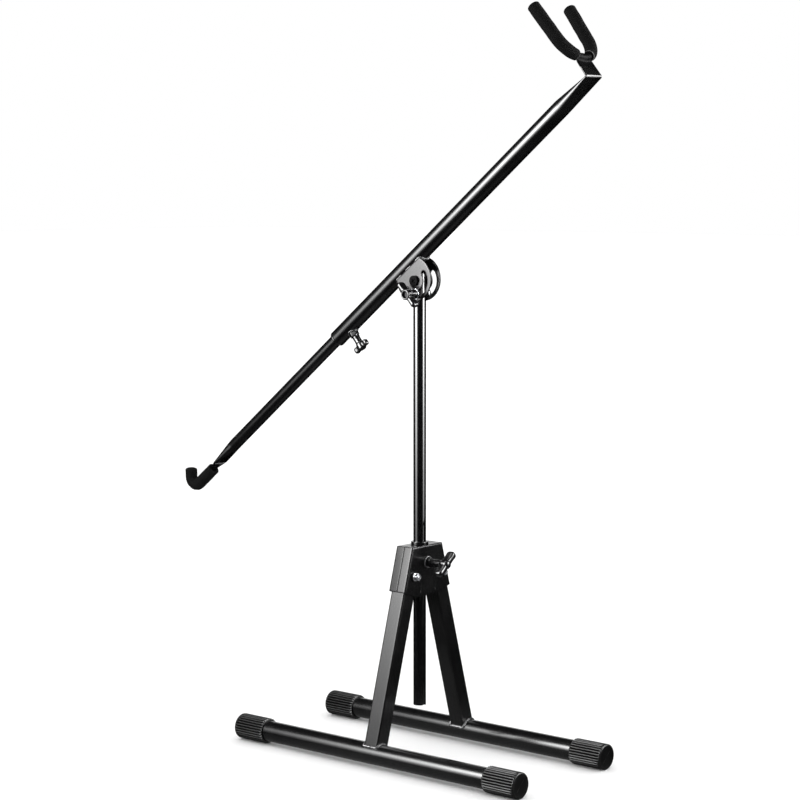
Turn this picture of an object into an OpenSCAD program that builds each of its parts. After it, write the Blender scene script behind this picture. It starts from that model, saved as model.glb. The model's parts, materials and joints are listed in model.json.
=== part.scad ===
// Saxophone stand: H-shaped base on two foot bars, a clamped mast, and a tilting telescopic boom
// with a padded yoke at its upper end and a padded hook at its lower end.
// The origin is on the floor under the mast. X runs along the foot bars and Z is up.

/* [Foot bars] */
// Length of each foot bar over its end caps
bar_length = 547; // [440:1:640]
// Distance between the two foot bar axes
bar_spacing = 207.5; // [190:0.5:240]
// Outside diameter of the foot bars
bar_d = 31.75; // [30:0.25:33]
// Wall thickness of the foot bars
bar_wall = 1.6; // [1.2:0.1:2.5]
// Outside diameter of the rubber end caps
cap_d = 38.76; // [37:0.01:42]
// Length of each end cap
cap_length = 57; // [40:1:70]
// Number of grooves round each end cap
cap_grooves = 32; // [16:2:40]

/* [Legs] */
// Outside width of the square leg tubes
leg_size = 25.4; // [24:0.1:25.6]
// Wall thickness of the legs
leg_wall = 1.6; // [1.2:0.1:2.5]
// Lean of each leg from upright
leg_splay = 15.7; // [15:0.1:17]
// Height of the leg pivots above the floor
pivot_height = 277.5; // [274:0.5:280]

/* [Housing] */
// Depth of the housing along the foot bars
housing_depth = 32; // [31:0.1:34]
// Thickness of the housing sheet
sheet = 2; // [1.5:0.1:2.2]
// Height of the housing's top face
housing_top = 321.5; // [318:0.1:325]
// Height of the lower corners of the end flanges
housing_corner = 255.5; // [252:0.5:262]
// Height of the lower edge in the middle of the housing
housing_bottom = 245.5; // [242:0.5:248]

/* [Mast] */
// Outside diameter of the mast
mast_d = 19.05; // [18.9:0.05:19.1]
// Wall thickness of the mast
mast_wall = 1.6; // [1.2:0.1:2]
// Height of the mast's lower end
mast_low = 76; // [70:1:90]
// Height of the boom's tilt pivot
tilt_height = 716.5; // [700:0.5:740]
// Height of the screw that clamps the mast
mast_screw_height = 296; // [292:0.5:299]

/* [Boom] */
// Tilt of the boom above level, as modelled
boom_tilt = 38.8; // [0:0.1:60]
// Distance of the boom's axis from the tilt pivot
boom_offset = 30.2; // [30:0.1:34]
// Outside diameter of the boom's outer tube
boom_d = 25.4; // [25.2:0.1:25.6]
// Wall thickness of the boom's outer tube
boom_wall = 1.5; // [1.2:0.1:1.8]
// Distance along the boom from the pivot to the outer tube's lower end
boom_low = 185; // [175:1:205]
// Distance along the boom from the pivot to the bend at the upper end
boom_high = 427; // [380:1:460]
// Width of the outer tube where it is pressed flat
boom_flat_w = 37.5; // [34:0.5:39]
// Radius of the bend at the bottom of the yoke
yoke_r = 36.5; // [33:0.5:42]
// Length of each straight yoke arm
yoke_arm = 60.5; // [45:0.5:75]
// Outside diameter of the foam sleeves
foam_d = 18.4; // [17:0.1:22]

/* [Inner tube] */
// Outside diameter of the inner tube
inner_d = 19.05; // [18.9:0.05:19.1]
// Distance along the boom from the pivot to the inner tube's flattened end
inner_low = 522; // [500:1:540]
// Width of the inner tube where it is pressed flat
inner_flat_w = 29; // [26:0.5:30]
// Straight length of foam before the hook's bend
hook_straight = 42; // [35:1:60]
// Radius of the hook's bend
hook_r = 12; // [11.5:0.5:20]
// Angle that the hook turns through
hook_turn = 129; // [90:1:150]
// Straight length of foam after the hook's bend
hook_tip = 15; // [8:0.5:25]

/* [Clamp knobs] */
// Thread diameter of the clamp screws
thread_d = 8; // [7.9:0.05:8]
// Width across the long wing knobs
wing_span = 46.5; // [40:0.5:50]
// Width across the short wing knob on the boom
small_wing_span = 29; // [26:0.5:34]

/* [Hidden] */
$fn = 64;
// Gap between parts that are fixed together, and radial gap where one turns or slides in another
fixed_gap = 0.05;
run_gap = 0.06;
// Overlap of cutting shapes past the faces that they cut
cut = 1;
black = [0.06, 0.06, 0.065];
foam_black = [0.1, 0.1, 0.1];
zinc = [0.75, 0.76, 0.78];
bar_y = bar_spacing / 2;
// The caps stand on a narrow flat, so their axis is slightly lower than their radius
cap_flat = 0.02;
bar_z = cap_d / 2 - cap_flat;
cap_end = 4;
cap_chamfer = 1.4;
groove_r = 1.05;
leg_corner = 2.2;
leg_long = (pivot_height - bar_z) / cos(leg_splay);
pivot_y = bar_y - tan(leg_splay) * (pivot_height - bar_z);
half_depth = housing_depth / 2;
bend_r = 2.5;
flange_gap = 0.6;
// Distance from a leg's middle plane to the outer face of its end flange
flange_out = leg_size / 2 + flange_gap + sheet;
seam_gap = 0.1;
// Half width of the lower straight part of the housing's front and rear plates
chevron_y = 21;
far_out = 400;
stop_tab_x = 2.4;
stop_tab_t = 1.8;
stop_tab_low = 253;
stop_tab_high = 266;
pivot_bolt_r = 3;
pivot_sleeve_r = 5;
spacer_t = 2.5;
nut_af = 10;
nut_h = 5;
washer_t = 1.2;
guide_r = 12.7;
guide_wall = 1.5;
guide_low = 252;
flange_r = 13;
flange_h = 4.5;
lower_flange_h = 2.5;
big_nut_af = 13;
big_nut_h = 6.5;
flute_r = 3.2;
flute_x = 10;
flute_top = 350;
mast_above_pivot = 11;
plug_head = 1.6;
mast_r = mast_d / 2;
screw_r = thread_d / 2;
clamp_drop = 20;
cheek_inner = mast_r + 0.2;
cheek_t = 2;
cheek_r = 33;
cheek_shift = 3;
slot_r = 4.25;
slot_half_angle = 84;
web_half = 30;
// How far below the boom's axis the saddle's upper edges are
saddle_top = 8.4;
head_r = 7.5;
head_h = 3.6;
tilt_washer_t = 1.5;
tilt_washer_r = 8.6;
boom_r = boom_d / 2;
boom_bore = boom_r - boom_wall;
boom_round_end = boom_high - 72;
flat_t = 3;
flat_z = -1.9;
neck_high = 38;
// How far the neck's slanted sides stay off the ends of the foam sleeves
neck_gap = 0.5;
rod_r = 4;
yoke_z = 29.5;
// How far the yoke's rod is in front of the bend's outer face
yoke_ahead = 1.6;
barrel_r = 5.8;
barrel_half = 9.4;
yoke_lean = 5.5;
sleeve_start = 23;
// How far a straight run reaches into the bend that it meets
join = 0.3;
bush_long = 30;
bush_lip = 3;
clamp_s = 155;
inner_r = inner_d / 2;
inner_wall = 1.5;
inner_high = 38;
inner_round_end = inner_low - 48;
inner_flat_t = 4;
inner_flat_z = -2.9;
tab_long = 18;
foam_r = foam_d / 2;
hook_foam_r = foam_r + 0.5;
foam_end = 4;
knob_barrel_r = 6.3;
knob_end = 58;
bar_t = 7;
wing_w = 10;
dome_h = 3;
tilt_knob_end = 34.7;
tilt_barrel_r = 7.6;
insert_r = 5.6;
insert_long = 12;
small_knob_low = 20;
small_knob_end = 43;
tilt_wing_turn = -46.6;
mast_wing_turn = -49;

// Local frame of a leg: its own Z runs from the foot bar's axis up the middle of the leg
module leg_frame(side) {
    translate([0, side * bar_y, bar_z]) rotate([side * leg_splay, 0, 0]) children();
}

// Local frame of the boom: its own X is the boom's axis, and the tilt pivot is below its origin
module boom_frame() {
    translate([0, 0, tilt_height]) rotate([0, -boom_tilt, 0]) translate([0, 0, boom_offset]) children();
}

// Cylinder along X, starting at x
module rod_x(r, x, long) {
    translate([x, 0, 0]) rotate([0, 90, 0]) cylinder(r = r, h = long);
}

// Cylinder along -Y, starting at depth y in front of the mast
module rod_y(r, y, long) {
    translate([0, -y, 0]) rotate([90, 0, 0]) cylinder(r = r, h = long);
}

module ring(outer, inner, h) {
    difference() {
        cylinder(r = outer, h = h);
        translate([0, 0, -cut]) cylinder(r = inner, h = h + 2 * cut);
    }
}

module hex_nut(af, h, bore) {
    difference() {
        cylinder(d = af / cos(30), h = h, $fn = 6);
        translate([0, 0, -cut]) cylinder(r = bore, h = h + 2 * cut);
    }
}

module rounded_square(size, r) {
    offset_half = size / 2 - r;
    square([size - 2 * r, size], center = true);
    square([size, size - 2 * r], center = true);
    for (sx = [-1, 1], sy = [-1, 1]) translate([sx * offset_half, sy * offset_half]) circle(r = r);
}

// Solid form of the housing, shrunk by inset on every closed side
module housing_form(inset, low) {
    half = half_depth - inset;
    corner = bend_r - inset;
    top = housing_top - inset;
    intersection() {
        translate([0, far_out / 2, top - far_out / 2]) rotate([90, 0, 0]) linear_extrude(far_out)
            slab(half, corner);
        end_slab(-1, flange_out - inset, half, corner);
        end_slab(1, flange_out - inset, half, corner);
        translate([-far_out / 2, -far_out / 2, low]) cube(far_out);
    }
}

// Long rounded bar whose outer face lies against one leg's end flange
module end_slab(side, reach, half, corner) {
    leg_frame(side) translate([0, side * (reach - far_out / 2), 0]) rotate([0, 0, 90])
        linear_extrude(far_out) slab_side(half, corner);
}

// Tall profile with two rounded upper corners, for the housing's top bends
module slab(half, corner) {
    translate([-half, -far_out / 2]) square([2 * half, far_out - corner]);
    translate([-half + corner, -far_out / 2]) square([2 * (half - corner), far_out]);
    for (sx = [-1, 1]) translate([sx * (half - corner), far_out / 2 - corner]) circle(r = corner);
}

// The same profile with all four corners rounded, for the bends along the end flanges
module slab_side(half, corner) {
    square([far_out, 2 * (half - corner)], center = true);
    square([far_out - 2 * corner, 2 * half], center = true);
    for (sx = [-1, 1], sy = [-1, 1])
        translate([sx * (far_out / 2 - corner), sy * (half - corner)]) circle(r = corner);
}

// Everything above the housing's lower edge, which dips in the middle
module lower_edge_trim() {
    wide = far_out / 2;
    flange_y = pivot_y + tan(leg_splay) * (pivot_height - housing_corner) + flange_out / cos(leg_splay);
    slope = (housing_corner - housing_bottom) / (flange_y - chevron_y);
    outer_z = housing_bottom + slope * (wide - chevron_y);
    translate([-wide, 0, 0]) rotate([90, 0, 90]) linear_extrude(far_out) polygon([
        [-chevron_y, housing_bottom], [chevron_y, housing_bottom], [wide, outer_z],
        [wide, far_out], [-wide, far_out], [-wide, outer_z]
    ]);
}

// One bent-sheet shell, on the -X side of the seam
module shell() {
    inner_x = half_depth - sheet;
    difference() {
        union() {
            intersection() {
                difference() {
                    housing_form(0, housing_bottom - cut);
                    housing_form(sheet, 0);
                }
                lower_edge_trim();
                translate([-far_out - seam_gap / 2, -far_out / 2, 0]) cube(far_out);
            }
            for (side = [0, 1]) mirror([0, side, 0]) stop_tab(inner_x);
        }
        translate([0, 0, housing_top - 2 * sheet]) cylinder(r = guide_r + fixed_gap, h = 4 * sheet);
        for (y = [-1, 1]) translate([0, y * pivot_y, pivot_height])
            rod_x(pivot_bolt_r + fixed_gap, -half_depth - cut, half_depth + cut);
        for (side = [0, 1]) mirror([0, side, 0]) stop_slit();
    }
}

// Tab pressed in from the plate that stops a folding leg when it is upright
module stop_tab(inner_x) {
    tab_y = pivot_y - leg_size / 2 - flange_gap - stop_tab_t;
    translate([-inner_x - sheet / 2, tab_y, stop_tab_low])
        cube([stop_tab_x + sheet / 2, stop_tab_t, stop_tab_high - stop_tab_low]);
}

// Shallow slit that the tab leaves in the outer face
module stop_slit() {
    slit_w = 1.1;
    slit_deep = 0.9;
    tab_y = pivot_y - leg_size / 2 - flange_gap - stop_tab_t / 2;
    translate([-half_depth - slit_deep, tab_y - slit_w / 2, stop_tab_low])
        cube([2 * slit_deep, slit_w, stop_tab_high - stop_tab_low]);
}

module front_shell() {
    color(black) difference() {
        mirror([1, 0, 0]) shell();
        translate([0, 0, mast_screw_height]) rod_x(screw_r + 0.3, 0, half_depth + cut);
    }
}

module rear_shell() {
    color(black) shell();
}

// Steel tube between the shells that carries the two plastic bushings
module guide_tube() {
    color(black) difference() {
        translate([0, 0, guide_low]) ring(guide_r, guide_r - guide_wall, housing_top - guide_low);
        translate([0, 0, mast_screw_height]) rod_x(screw_r + 0.3, 0, guide_r + cut);
    }
}

module bushing(long, flange_t) {
    ring(guide_r - guide_wall - fixed_gap, mast_r + run_gap, long);
    translate([0, 0, -flange_t]) ring(flange_r, mast_r + run_gap, flange_t);
}

module top_bushing() {
    color(black) translate([0, 0, housing_top + fixed_gap]) mirror([0, 0, 1]) bushing(14, flange_h);
}

module bottom_bushing() {
    color(black) translate([0, 0, guide_low - fixed_gap]) bushing(18, lower_flange_h);
}

module mast_weld_nut() {
    color(black) translate([half_depth + fixed_gap, 0, mast_screw_height]) rotate([0, 90, 0])
        hex_nut(big_nut_af, big_nut_h, screw_r + run_gap);
}

module leg_pivot_sleeves() {
    long = housing_depth - 2 * sheet - 2 * fixed_gap;
    color(zinc) for (y = [-1, 1]) translate([-long / 2, y * pivot_y, pivot_height])
        rotate([0, 90, 0]) ring(pivot_sleeve_r, pivot_bolt_r + fixed_gap, long);
}

module leg_pivot_bolts() {
    rear = half_depth + fixed_gap;
    head = 4;
    color(zinc) for (y = [-1, 1]) translate([0, y * pivot_y, pivot_height]) {
        rod_x(pivot_bolt_r, -rear, 2 * rear + spacer_t + washer_t + nut_h + 2);
        translate([-rear - head, 0, 0]) rotate([0, 90, 0]) cylinder(d = nut_af / cos(30), h = head, $fn = 6);
    }
}

module leg_pivot_spacers() {
    color(black) for (y = [-1, 1]) translate([half_depth + fixed_gap, y * pivot_y, pivot_height])
        rotate([0, 90, 0]) ring(7.2, pivot_bolt_r + fixed_gap, spacer_t);
}

module leg_pivot_nuts() {
    face = half_depth + spacer_t + 2 * fixed_gap;
    color(zinc) for (y = [-1, 1]) translate([face, y * pivot_y, pivot_height]) rotate([0, 90, 0]) {
        difference() {
            union() {
                cylinder(r = 6.4, h = washer_t);
                rotate([0, 0, 12]) cylinder(d = nut_af / cos(30), h = washer_t + nut_h, $fn = 6);
            }
            translate([0, 0, -cut]) cylinder(r = pivot_bolt_r + fixed_gap, h = washer_t + nut_h + 2 * cut);
        }
    }
}

// Square tube, coped over the foot bar and rounded about its pivot at the top
module leg(side) {
    color(black) leg_frame(side) difference() {
        linear_extrude(leg_long + leg_size / 2) difference() {
            rounded_square(leg_size, leg_corner);
            square(leg_size - 2 * leg_wall, center = true);
        }
        rod_x(bar_d / 2 + fixed_gap, -leg_size, 2 * leg_size);
        translate([0, 0, leg_long]) difference() {
            translate([-leg_size, -leg_size, 0]) cube([2 * leg_size, 2 * leg_size, leg_size]);
            rod_x(leg_size / 2, -leg_size, 2 * leg_size);
        }
        translate([0, 0, leg_long]) rod_x(pivot_sleeve_r + run_gap, -leg_size, 2 * leg_size);
    }
}

module foot_bar(side) {
    long = bar_length - 2 * (cap_end + fixed_gap);
    color(black) translate([-long / 2, side * bar_y, bar_z]) rotate([0, 90, 0])
        ring(bar_d / 2, bar_d / 2 - bar_wall, long);
}

// Grooved rubber cap with its closed end at z = 0
module foot_cap() {
    half_step = 180 / cap_grooves;
    difference() {
        union() {
            cylinder(r1 = cap_d / 2 - cap_chamfer, r2 = cap_d / 2, h = cap_chamfer);
            translate([0, 0, cap_chamfer]) cylinder(r = cap_d / 2, h = cap_length - cap_chamfer);
        }
        translate([0, 0, cap_end]) cylinder(r = bar_d / 2 + fixed_gap, h = cap_length);
        for (i = [0 : cap_grooves - 1]) rotate([0, 0, i * 2 * half_step + half_step])
            translate([cap_d / 2 + 0.25, 0, -cut]) cylinder(r = groove_r, h = cap_length + 2 * cut);
        translate([bar_z, -far_out / 2, -cut]) cube([far_out, far_out, cap_length + 2 * cut]);
    }
}

module foot_caps(side) {
    color(black) for (x = [-1, 1]) translate([x * bar_length / 2, side * bar_y, bar_z])
        rotate([0, 90, 0]) mirror([0, 0, x > 0 ? 1 : 0]) foot_cap();
}

module near_leg() {
    leg(-1);
}

module near_foot_bar() {
    foot_bar(-1);
}

module near_foot_caps() {
    foot_caps(-1);
}

module far_leg() {
    leg(1);
}

module far_foot_bar() {
    foot_bar(1);
}

module far_foot_caps() {
    foot_caps(1);
}

// Groove pressed into the mast, from its lower end up to a rounded run-out
module flute(r) {
    translate([flute_x, 0, 0]) cylinder(r = r, h = flute_top);
    translate([flute_x, 0, flute_top]) sphere(r = r);
}

module mast_tube() {
    top = tilt_height + mast_above_pivot - plug_head;
    color(black) difference() {
        translate([0, 0, mast_low]) cylinder(r = mast_r, h = top - mast_low);
        flute(flute_r);
        difference() {
            cylinder(r = mast_r - mast_wall, h = top + cut);
            flute(flute_r + mast_wall);
        }
        for (z = [tilt_height, tilt_height - clamp_drop])
            translate([0, 0, z]) rod_y(screw_r + fixed_gap, -mast_d, 2 * mast_d);
    }
}

module mast_top_plug() {
    top = tilt_height + mast_above_pivot;
    long = 5;
    color(black) {
        translate([0, 0, top - plug_head + fixed_gap]) cylinder(r = mast_r - 0.3, h = plug_head - fixed_gap);
        translate([0, 0, top - plug_head - long])
            cylinder(r = mast_r - mast_wall - fixed_gap, h = long + 2 * fixed_gap);
    }
}

// Cross-head screw that the boom's bracket turns on
module tilt_pivot_bolt() {
    face = cheek_inner + cheek_t + fixed_gap;
    recess = 2;
    color(black) translate([0, 0, tilt_height]) difference() {
        union() {
            rod_y(screw_r, -face - tilt_washer_t - big_nut_h - 2, 2 * face + tilt_washer_t + big_nut_h + 3);
            rod_y(head_r, face, head_h);
        }
        for (turn = [45, -45]) translate([0, -face - head_h, 0]) rotate([0, turn, 0])
            cube([8, 2 * recess, 1.7], center = true);
    }
}

module tilt_pivot_nut() {
    y = cheek_inner + cheek_t + 2 * fixed_gap + tilt_washer_t;
    color(black) translate([0, y, tilt_height]) rotate([-90, 0, 0])
        hex_nut(big_nut_af, big_nut_h, screw_r + fixed_gap);
}

// Bolt through the bracket's two arc slots
module tilt_clamp_bolt() {
    far_face = cheek_inner + cheek_t + 2 * fixed_gap + tilt_washer_t;
    head = 5.2;
    color(black) translate([0, 0, tilt_height - clamp_drop]) {
        rod_y(screw_r - fixed_gap, -far_face, far_face + tilt_knob_end - 4);
        translate([0, far_face, 0]) rotate([-90, 0, 0])
            cylinder(d = big_nut_af / cos(30), h = head, $fn = 6);
    }
}

module tilt_washers() {
    y = cheek_inner + cheek_t + fixed_gap;
    color(zinc) {
        for (side = [0, 1]) mirror([0, side, 0]) translate([0, y, tilt_height - clamp_drop])
            rotate([-90, 0, 0]) ring(tilt_washer_r, screw_r + fixed_gap, tilt_washer_t);
        translate([0, y, tilt_height]) rotate([-90, 0, 0])
            ring(tilt_washer_r, screw_r + fixed_gap, tilt_washer_t);
    }
}

// Round-to-flat transition of a pressed tube, from x0 to x1
module pressed_end(r, x0, x1, width, thick, z) {
    hull() {
        rod_x(r, x0 < x1 ? x0 : x0 - 1, 1, $fn = 48);
        translate([x1, 0, z]) cube([0.1, width, thick], center = true);
    }
}

// Corner of the neck beside the end of a foam sleeve, reach mm from the centre of the yoke's round bend
function neck_corner(reach) = [
    reach * sin(sleeve_start) - neck_gap * cos(sleeve_start),
    yoke_z + yoke_r - reach * cos(sleeve_start) - neck_gap * sin(sleeve_start)
];

// Flat neck above the bend, whose slanted sides run along the ends of the foam sleeves
module neck(thick) {
    half = boom_flat_w / 2;
    low = flat_z - flat_t / 2;
    top_reach = (yoke_z + yoke_r - neck_high) / cos(sleeve_start);
    side_end = neck_corner(top_reach + 4);
    right = [[half, low], neck_corner(yoke_r + foam_r), side_end, [side_end[0] - 4, neck_high]];
    translate([boom_high - thick, 0, 0]) rotate([90, 0, 90]) linear_extrude(thick)
        for (side = [0, 1]) mirror([side, 0]) polygon(concat([[-0.5, neck_high], [-0.5, low]], right));
}

module boom_tube() {
    thin = 0.8;
    color(black) boom_frame() difference() {
        union() {
            rod_x(boom_r, -boom_low, boom_low + boom_round_end + join);
            pressed_end(boom_r + fixed_gap, boom_round_end, boom_high - 4, boom_flat_w, flat_t, flat_z);
            translate([boom_high - 6, -boom_flat_w / 2, flat_z - flat_t / 2]) cube([6, boom_flat_w, flat_t]);
            neck(flat_t);
            translate([boom_high + yoke_ahead, barrel_half, yoke_z]) rotate([90, 0, 0])
                cylinder(r = barrel_r, h = 2 * barrel_half);
        }
        rod_x(boom_bore, -boom_low - cut, boom_low + boom_round_end + cut + join);
        pressed_end(boom_bore - fixed_gap, boom_round_end, boom_high - 30, boom_flat_w - 7, thin, flat_z);
        translate([boom_high + yoke_ahead, 0, yoke_z + yoke_r]) rotate([0, -90, 0])
            rotate_extrude() translate([yoke_r, 0]) circle(r = rod_r + fixed_gap);
        translate([-clamp_s, 0, -boom_r - cut]) cylinder(r = screw_r + 0.3, h = boom_r);
    }
}

// Bracket welded under the boom: a saddle that hugs the tube, and two round cheeks with arc slots
module tilt_bracket() {
    saddle_r = boom_r + fixed_gap;
    color(black) boom_frame() {
        intersection() {
            difference() {
                rod_x(saddle_r + cheek_t, -web_half, 2 * web_half);
                rod_x(saddle_r, -web_half - cut, 2 * web_half + 2 * cut);
            }
            translate([-far_out / 2, -far_out / 2, -far_out - saddle_top]) cube(far_out);
        }
        for (side = [-1, 1]) difference() {
            translate([0, side * (cheek_inner + cheek_t / 2), -boom_offset])
                rotate([90, 0, 0]) translate([0, 0, -cheek_t / 2]) cheek();
            rod_x(saddle_r, -far_out / 2, far_out);
        }
    }
}

// One cheek, drawn about the pivot in its own plane
module cheek() {
    difference() {
        intersection() {
            translate([0, cheek_shift, 0]) cylinder(r = cheek_r, h = cheek_t);
            translate([-far_out / 2, boom_offset - saddle_top - far_out, -cut])
                cube([far_out, far_out, cheek_t + 2 * cut]);
        }
        translate([0, 0, -cut]) cylinder(r = screw_r + run_gap, h = cheek_t + 2 * cut);
        translate([0, 0, -cut]) rotate([0, 0, -90 - slot_half_angle])
            rotate_extrude(angle = 2 * slot_half_angle) translate([clamp_drop - slot_r, 0])
            square([2 * slot_r, cheek_t + 2 * cut]);
        for (turn = [-slot_half_angle, slot_half_angle]) rotate([0, 0, turn - 90])
            translate([clamp_drop, 0, -cut]) cylinder(r = slot_r, h = cheek_t + 2 * cut);
    }
}

// Plastic bushing in the outer tube's mouth, with a lip outside
module boom_bushing() {
    color(black) boom_frame() difference() {
        union() {
            rod_x(boom_bore - fixed_gap, -boom_low - fixed_gap, 24);
            rod_x(boom_r, -boom_low - bush_lip - fixed_gap, bush_lip);
        }
        rod_x(inner_r + run_gap, -boom_low - 2 * bush_lip, bush_long + 2 * bush_lip);
    }
}

module boom_weld_nut() {
    color(black) boom_frame() difference() {
        translate([-clamp_s, 0, -boom_r - 6]) rotate([0, 0, 30]) hex_nut(big_nut_af, 9, screw_r + run_gap);
        rod_x(boom_r + fixed_gap, -clamp_s - 20, 40);
    }
}

// Frame of one straight yoke arm: Z runs up the arm from the end of the round bend
module yoke_arm_frame() {
    rotate([0, 0, -yoke_lean]) translate([yoke_r, -join, 0]) rotate([-90, 0, 0]) children();
}

// Frame of the yoke: its own X is across the stand and its own Y runs up the arms
module yoke_frame() {
    boom_frame() translate([boom_high + yoke_ahead, 0, yoke_z + yoke_r]) rotate([90, 0, 90]) children();
}

module yoke_rod() {
    color(black) yoke_frame() {
        rotate([0, 0, yoke_lean - 180]) rotate_extrude(angle = 180 - 2 * yoke_lean)
            translate([yoke_r, 0]) circle(r = rod_r - fixed_gap);
        for (side = [0, 1]) mirror([side, 0, 0]) yoke_arm_frame()
            cylinder(r = rod_r, h = yoke_arm - foam_end + join);
    }
}

// Section of a foam sleeve round a bend, a little thinner than on the straight runs
module tube_section(outer) {
    difference() {
        circle(r = outer - fixed_gap);
        circle(r = rod_r + 2 * fixed_gap);
    }
}

// Foam tube with one closed end, standing on z = 0
module foam_tip(outer, long) {
    difference() {
        cylinder(r = outer, h = long);
        translate([0, 0, -cut]) cylinder(r = rod_r + fixed_gap, h = long - foam_end + cut);
    }
}

module yoke_sleeve() {
    rotate([0, 0, sleeve_start - 90]) rotate_extrude(angle = 90 - yoke_lean - sleeve_start)
        translate([yoke_r, 0]) tube_section(foam_r);
    yoke_arm_frame() foam_tip(foam_r, yoke_arm + join);
}

module near_yoke_sleeve() {
    color(foam_black) yoke_frame() mirror([1, 0, 0]) yoke_sleeve();
}

module far_yoke_sleeve() {
    color(foam_black) yoke_frame() yoke_sleeve();
}

module inner_tube() {
    thin = 2.7;
    color(black) boom_frame() difference() {
        union() {
            rod_x(inner_r, -inner_round_end - join, inner_round_end - inner_high + join);
            pressed_end(inner_r + fixed_gap, -inner_round_end, -inner_low + 4, inner_flat_w,
                inner_flat_t, inner_flat_z);
            translate([-inner_low, -inner_flat_w / 2, inner_flat_z - inner_flat_t / 2])
                cube([5, inner_flat_w, inner_flat_t]);
        }
        rod_x(inner_r - inner_wall, -inner_round_end - join, inner_round_end);
        pressed_end(inner_r - inner_wall - fixed_gap, -inner_round_end, -inner_low + 4,
            inner_flat_w - 3, thin, inner_flat_z);
        translate([-inner_low - cut, 1.5 - inner_flat_w / 2, inner_flat_z - thin / 2])
            cube([6 + cut, inner_flat_w - 3, thin]);
    }
}

// Plastic ring that keeps the inner tube central in the outer one
module inner_glide() {
    long = 12;
    color(black) boom_frame() translate([-inner_high + fixed_gap, 0, 0]) {
        rotate([0, 90, 0]) ring(boom_bore - run_gap, inner_r - 3, 3);
        rotate([0, -90, 0]) translate([0, 0, -0.01])
            ring(inner_r - inner_wall - fixed_gap, inner_r - 3, long);
    }
}

// Frame of the hook's bend: X and Y are the boom's X and Z, with the bend's centre at the origin
module hook_bend_frame() {
    translate([-inner_low - tab_long - hook_straight, 0, inner_flat_z + hook_r])
        rotate([90, 0, 0]) children();
}

// Frame of the hook's tip: Z runs along the tip from the end of the bend
module hook_tip_frame() {
    hook_bend_frame() rotate([0, 0, -90 - hook_turn]) translate([hook_r, join, 0])
        rotate([90, 0, 0]) children();
}

module hook_rod() {
    plate_t = 2.5;
    inside = 4;
    plate_half = 12.5;
    shoulder = -inner_low - 3;
    tab_end = -inner_low - tab_long + 2;
    bend_x = -inner_low - tab_long - hook_straight;
    color(black) boom_frame() {
        translate([0, 0, inner_flat_z]) rod_x(rod_r, bend_x - join, hook_straight + tab_long - 1 + join);
        hook_bend_frame() rotate([0, 0, -90 - hook_turn]) rotate_extrude(angle = hook_turn)
            translate([hook_r, 0]) circle(r = rod_r - fixed_gap);
        hook_tip_frame() cylinder(r = rod_r, h = hook_tip - foam_end + join);
        translate([0, 0, inner_flat_z - plate_t / 2]) linear_extrude(plate_t) polygon([
            [-inner_low + inside, -plate_half], [-inner_low + inside, plate_half],
            [shoulder, plate_half], [tab_end, rod_r + 1.5], [tab_end, -rod_r - 1.5],
            [shoulder, -plate_half]
        ]);
    }
}

module hook_sleeve() {
    bend_x = -inner_low - tab_long - hook_straight;
    color(foam_black) boom_frame() {
        translate([bend_x - join, 0, inner_flat_z]) rotate([0, 90, 0])
            ring(hook_foam_r, rod_r + fixed_gap, hook_straight + join);
        hook_bend_frame() rotate([0, 0, -90 - hook_turn]) rotate_extrude(angle = hook_turn)
            translate([hook_r, 0]) tube_section(hook_foam_r);
        hook_tip_frame() foam_tip(hook_foam_r, hook_tip + join);
    }
}

// Two-winged knob on its own Z axis: barrel from z0 to the wings, which end at z1
module wing_knob(barrel_r, z0, z1, span, bore, bore_end) {
    reach = span / 2 - bar_t / 2;
    difference() {
        union() {
            translate([0, 0, z0]) cylinder(r = barrel_r, h = z1 - z0);
            translate([-reach, -bar_t / 2, z1 - wing_w]) cube([2 * reach, bar_t, wing_w]);
            for (sx = [-1, 1]) translate([sx * reach, 0, z1 - wing_w]) cylinder(d = bar_t, h = wing_w);
        }
        translate([0, 0, z0 - cut]) cylinder(r = bore, h = bore_end - z0 + cut);
    }
}

module mast_screw() {
    tip_r = 2.2;
    tip = flute_x - sqrt(flute_r * flute_r - tip_r * tip_r) + 0.1;
    tip_long = 4;
    color(zinc) translate([0, 0, mast_screw_height]) {
        rod_x(tip_r, tip, tip_long);
        rod_x(screw_r - fixed_gap, tip + tip_long - 0.01, knob_end - 12 - tip - tip_long);
    }
}

module mast_knob() {
    low = half_depth + big_nut_h + 1.2;
    color(black) translate([0, 0, mast_screw_height]) rotate([0, 90, 0]) rotate([0, 0, mast_wing_turn]) {
        wing_knob(knob_barrel_r, low, knob_end - dome_h, wing_span, screw_r, knob_end - 11.5);
        translate([0, 0, knob_end - dome_h - 0.01]) intersection() {
            cylinder(r = knob_barrel_r, h = dome_h);
            translate([0, 0, dome_h - 8.2]) sphere(r = 8.2);
        }
    }
}

module boom_screw() {
    color(zinc) boom_frame() translate([-clamp_s, 0, 0]) mirror([0, 0, 1])
        translate([0, 0, inner_r + 0.1]) cylinder(r = screw_r - fixed_gap, h = small_knob_end - 8 - inner_r);
}

module boom_knob() {
    color(black) boom_frame() translate([-clamp_s, 0, 0]) mirror([0, 0, 1]) {
        wing_knob(knob_barrel_r, small_knob_low, small_knob_end, small_wing_span, screw_r,
            small_knob_end - 7);
    }
}

module tilt_insert() {
    low = cheek_inner + cheek_t + tilt_washer_t + 2 * fixed_gap;
    color(zinc) translate([0, -low, tilt_height - clamp_drop]) rotate([90, 0, 0])
        ring(insert_r, screw_r, insert_long);
}

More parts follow.
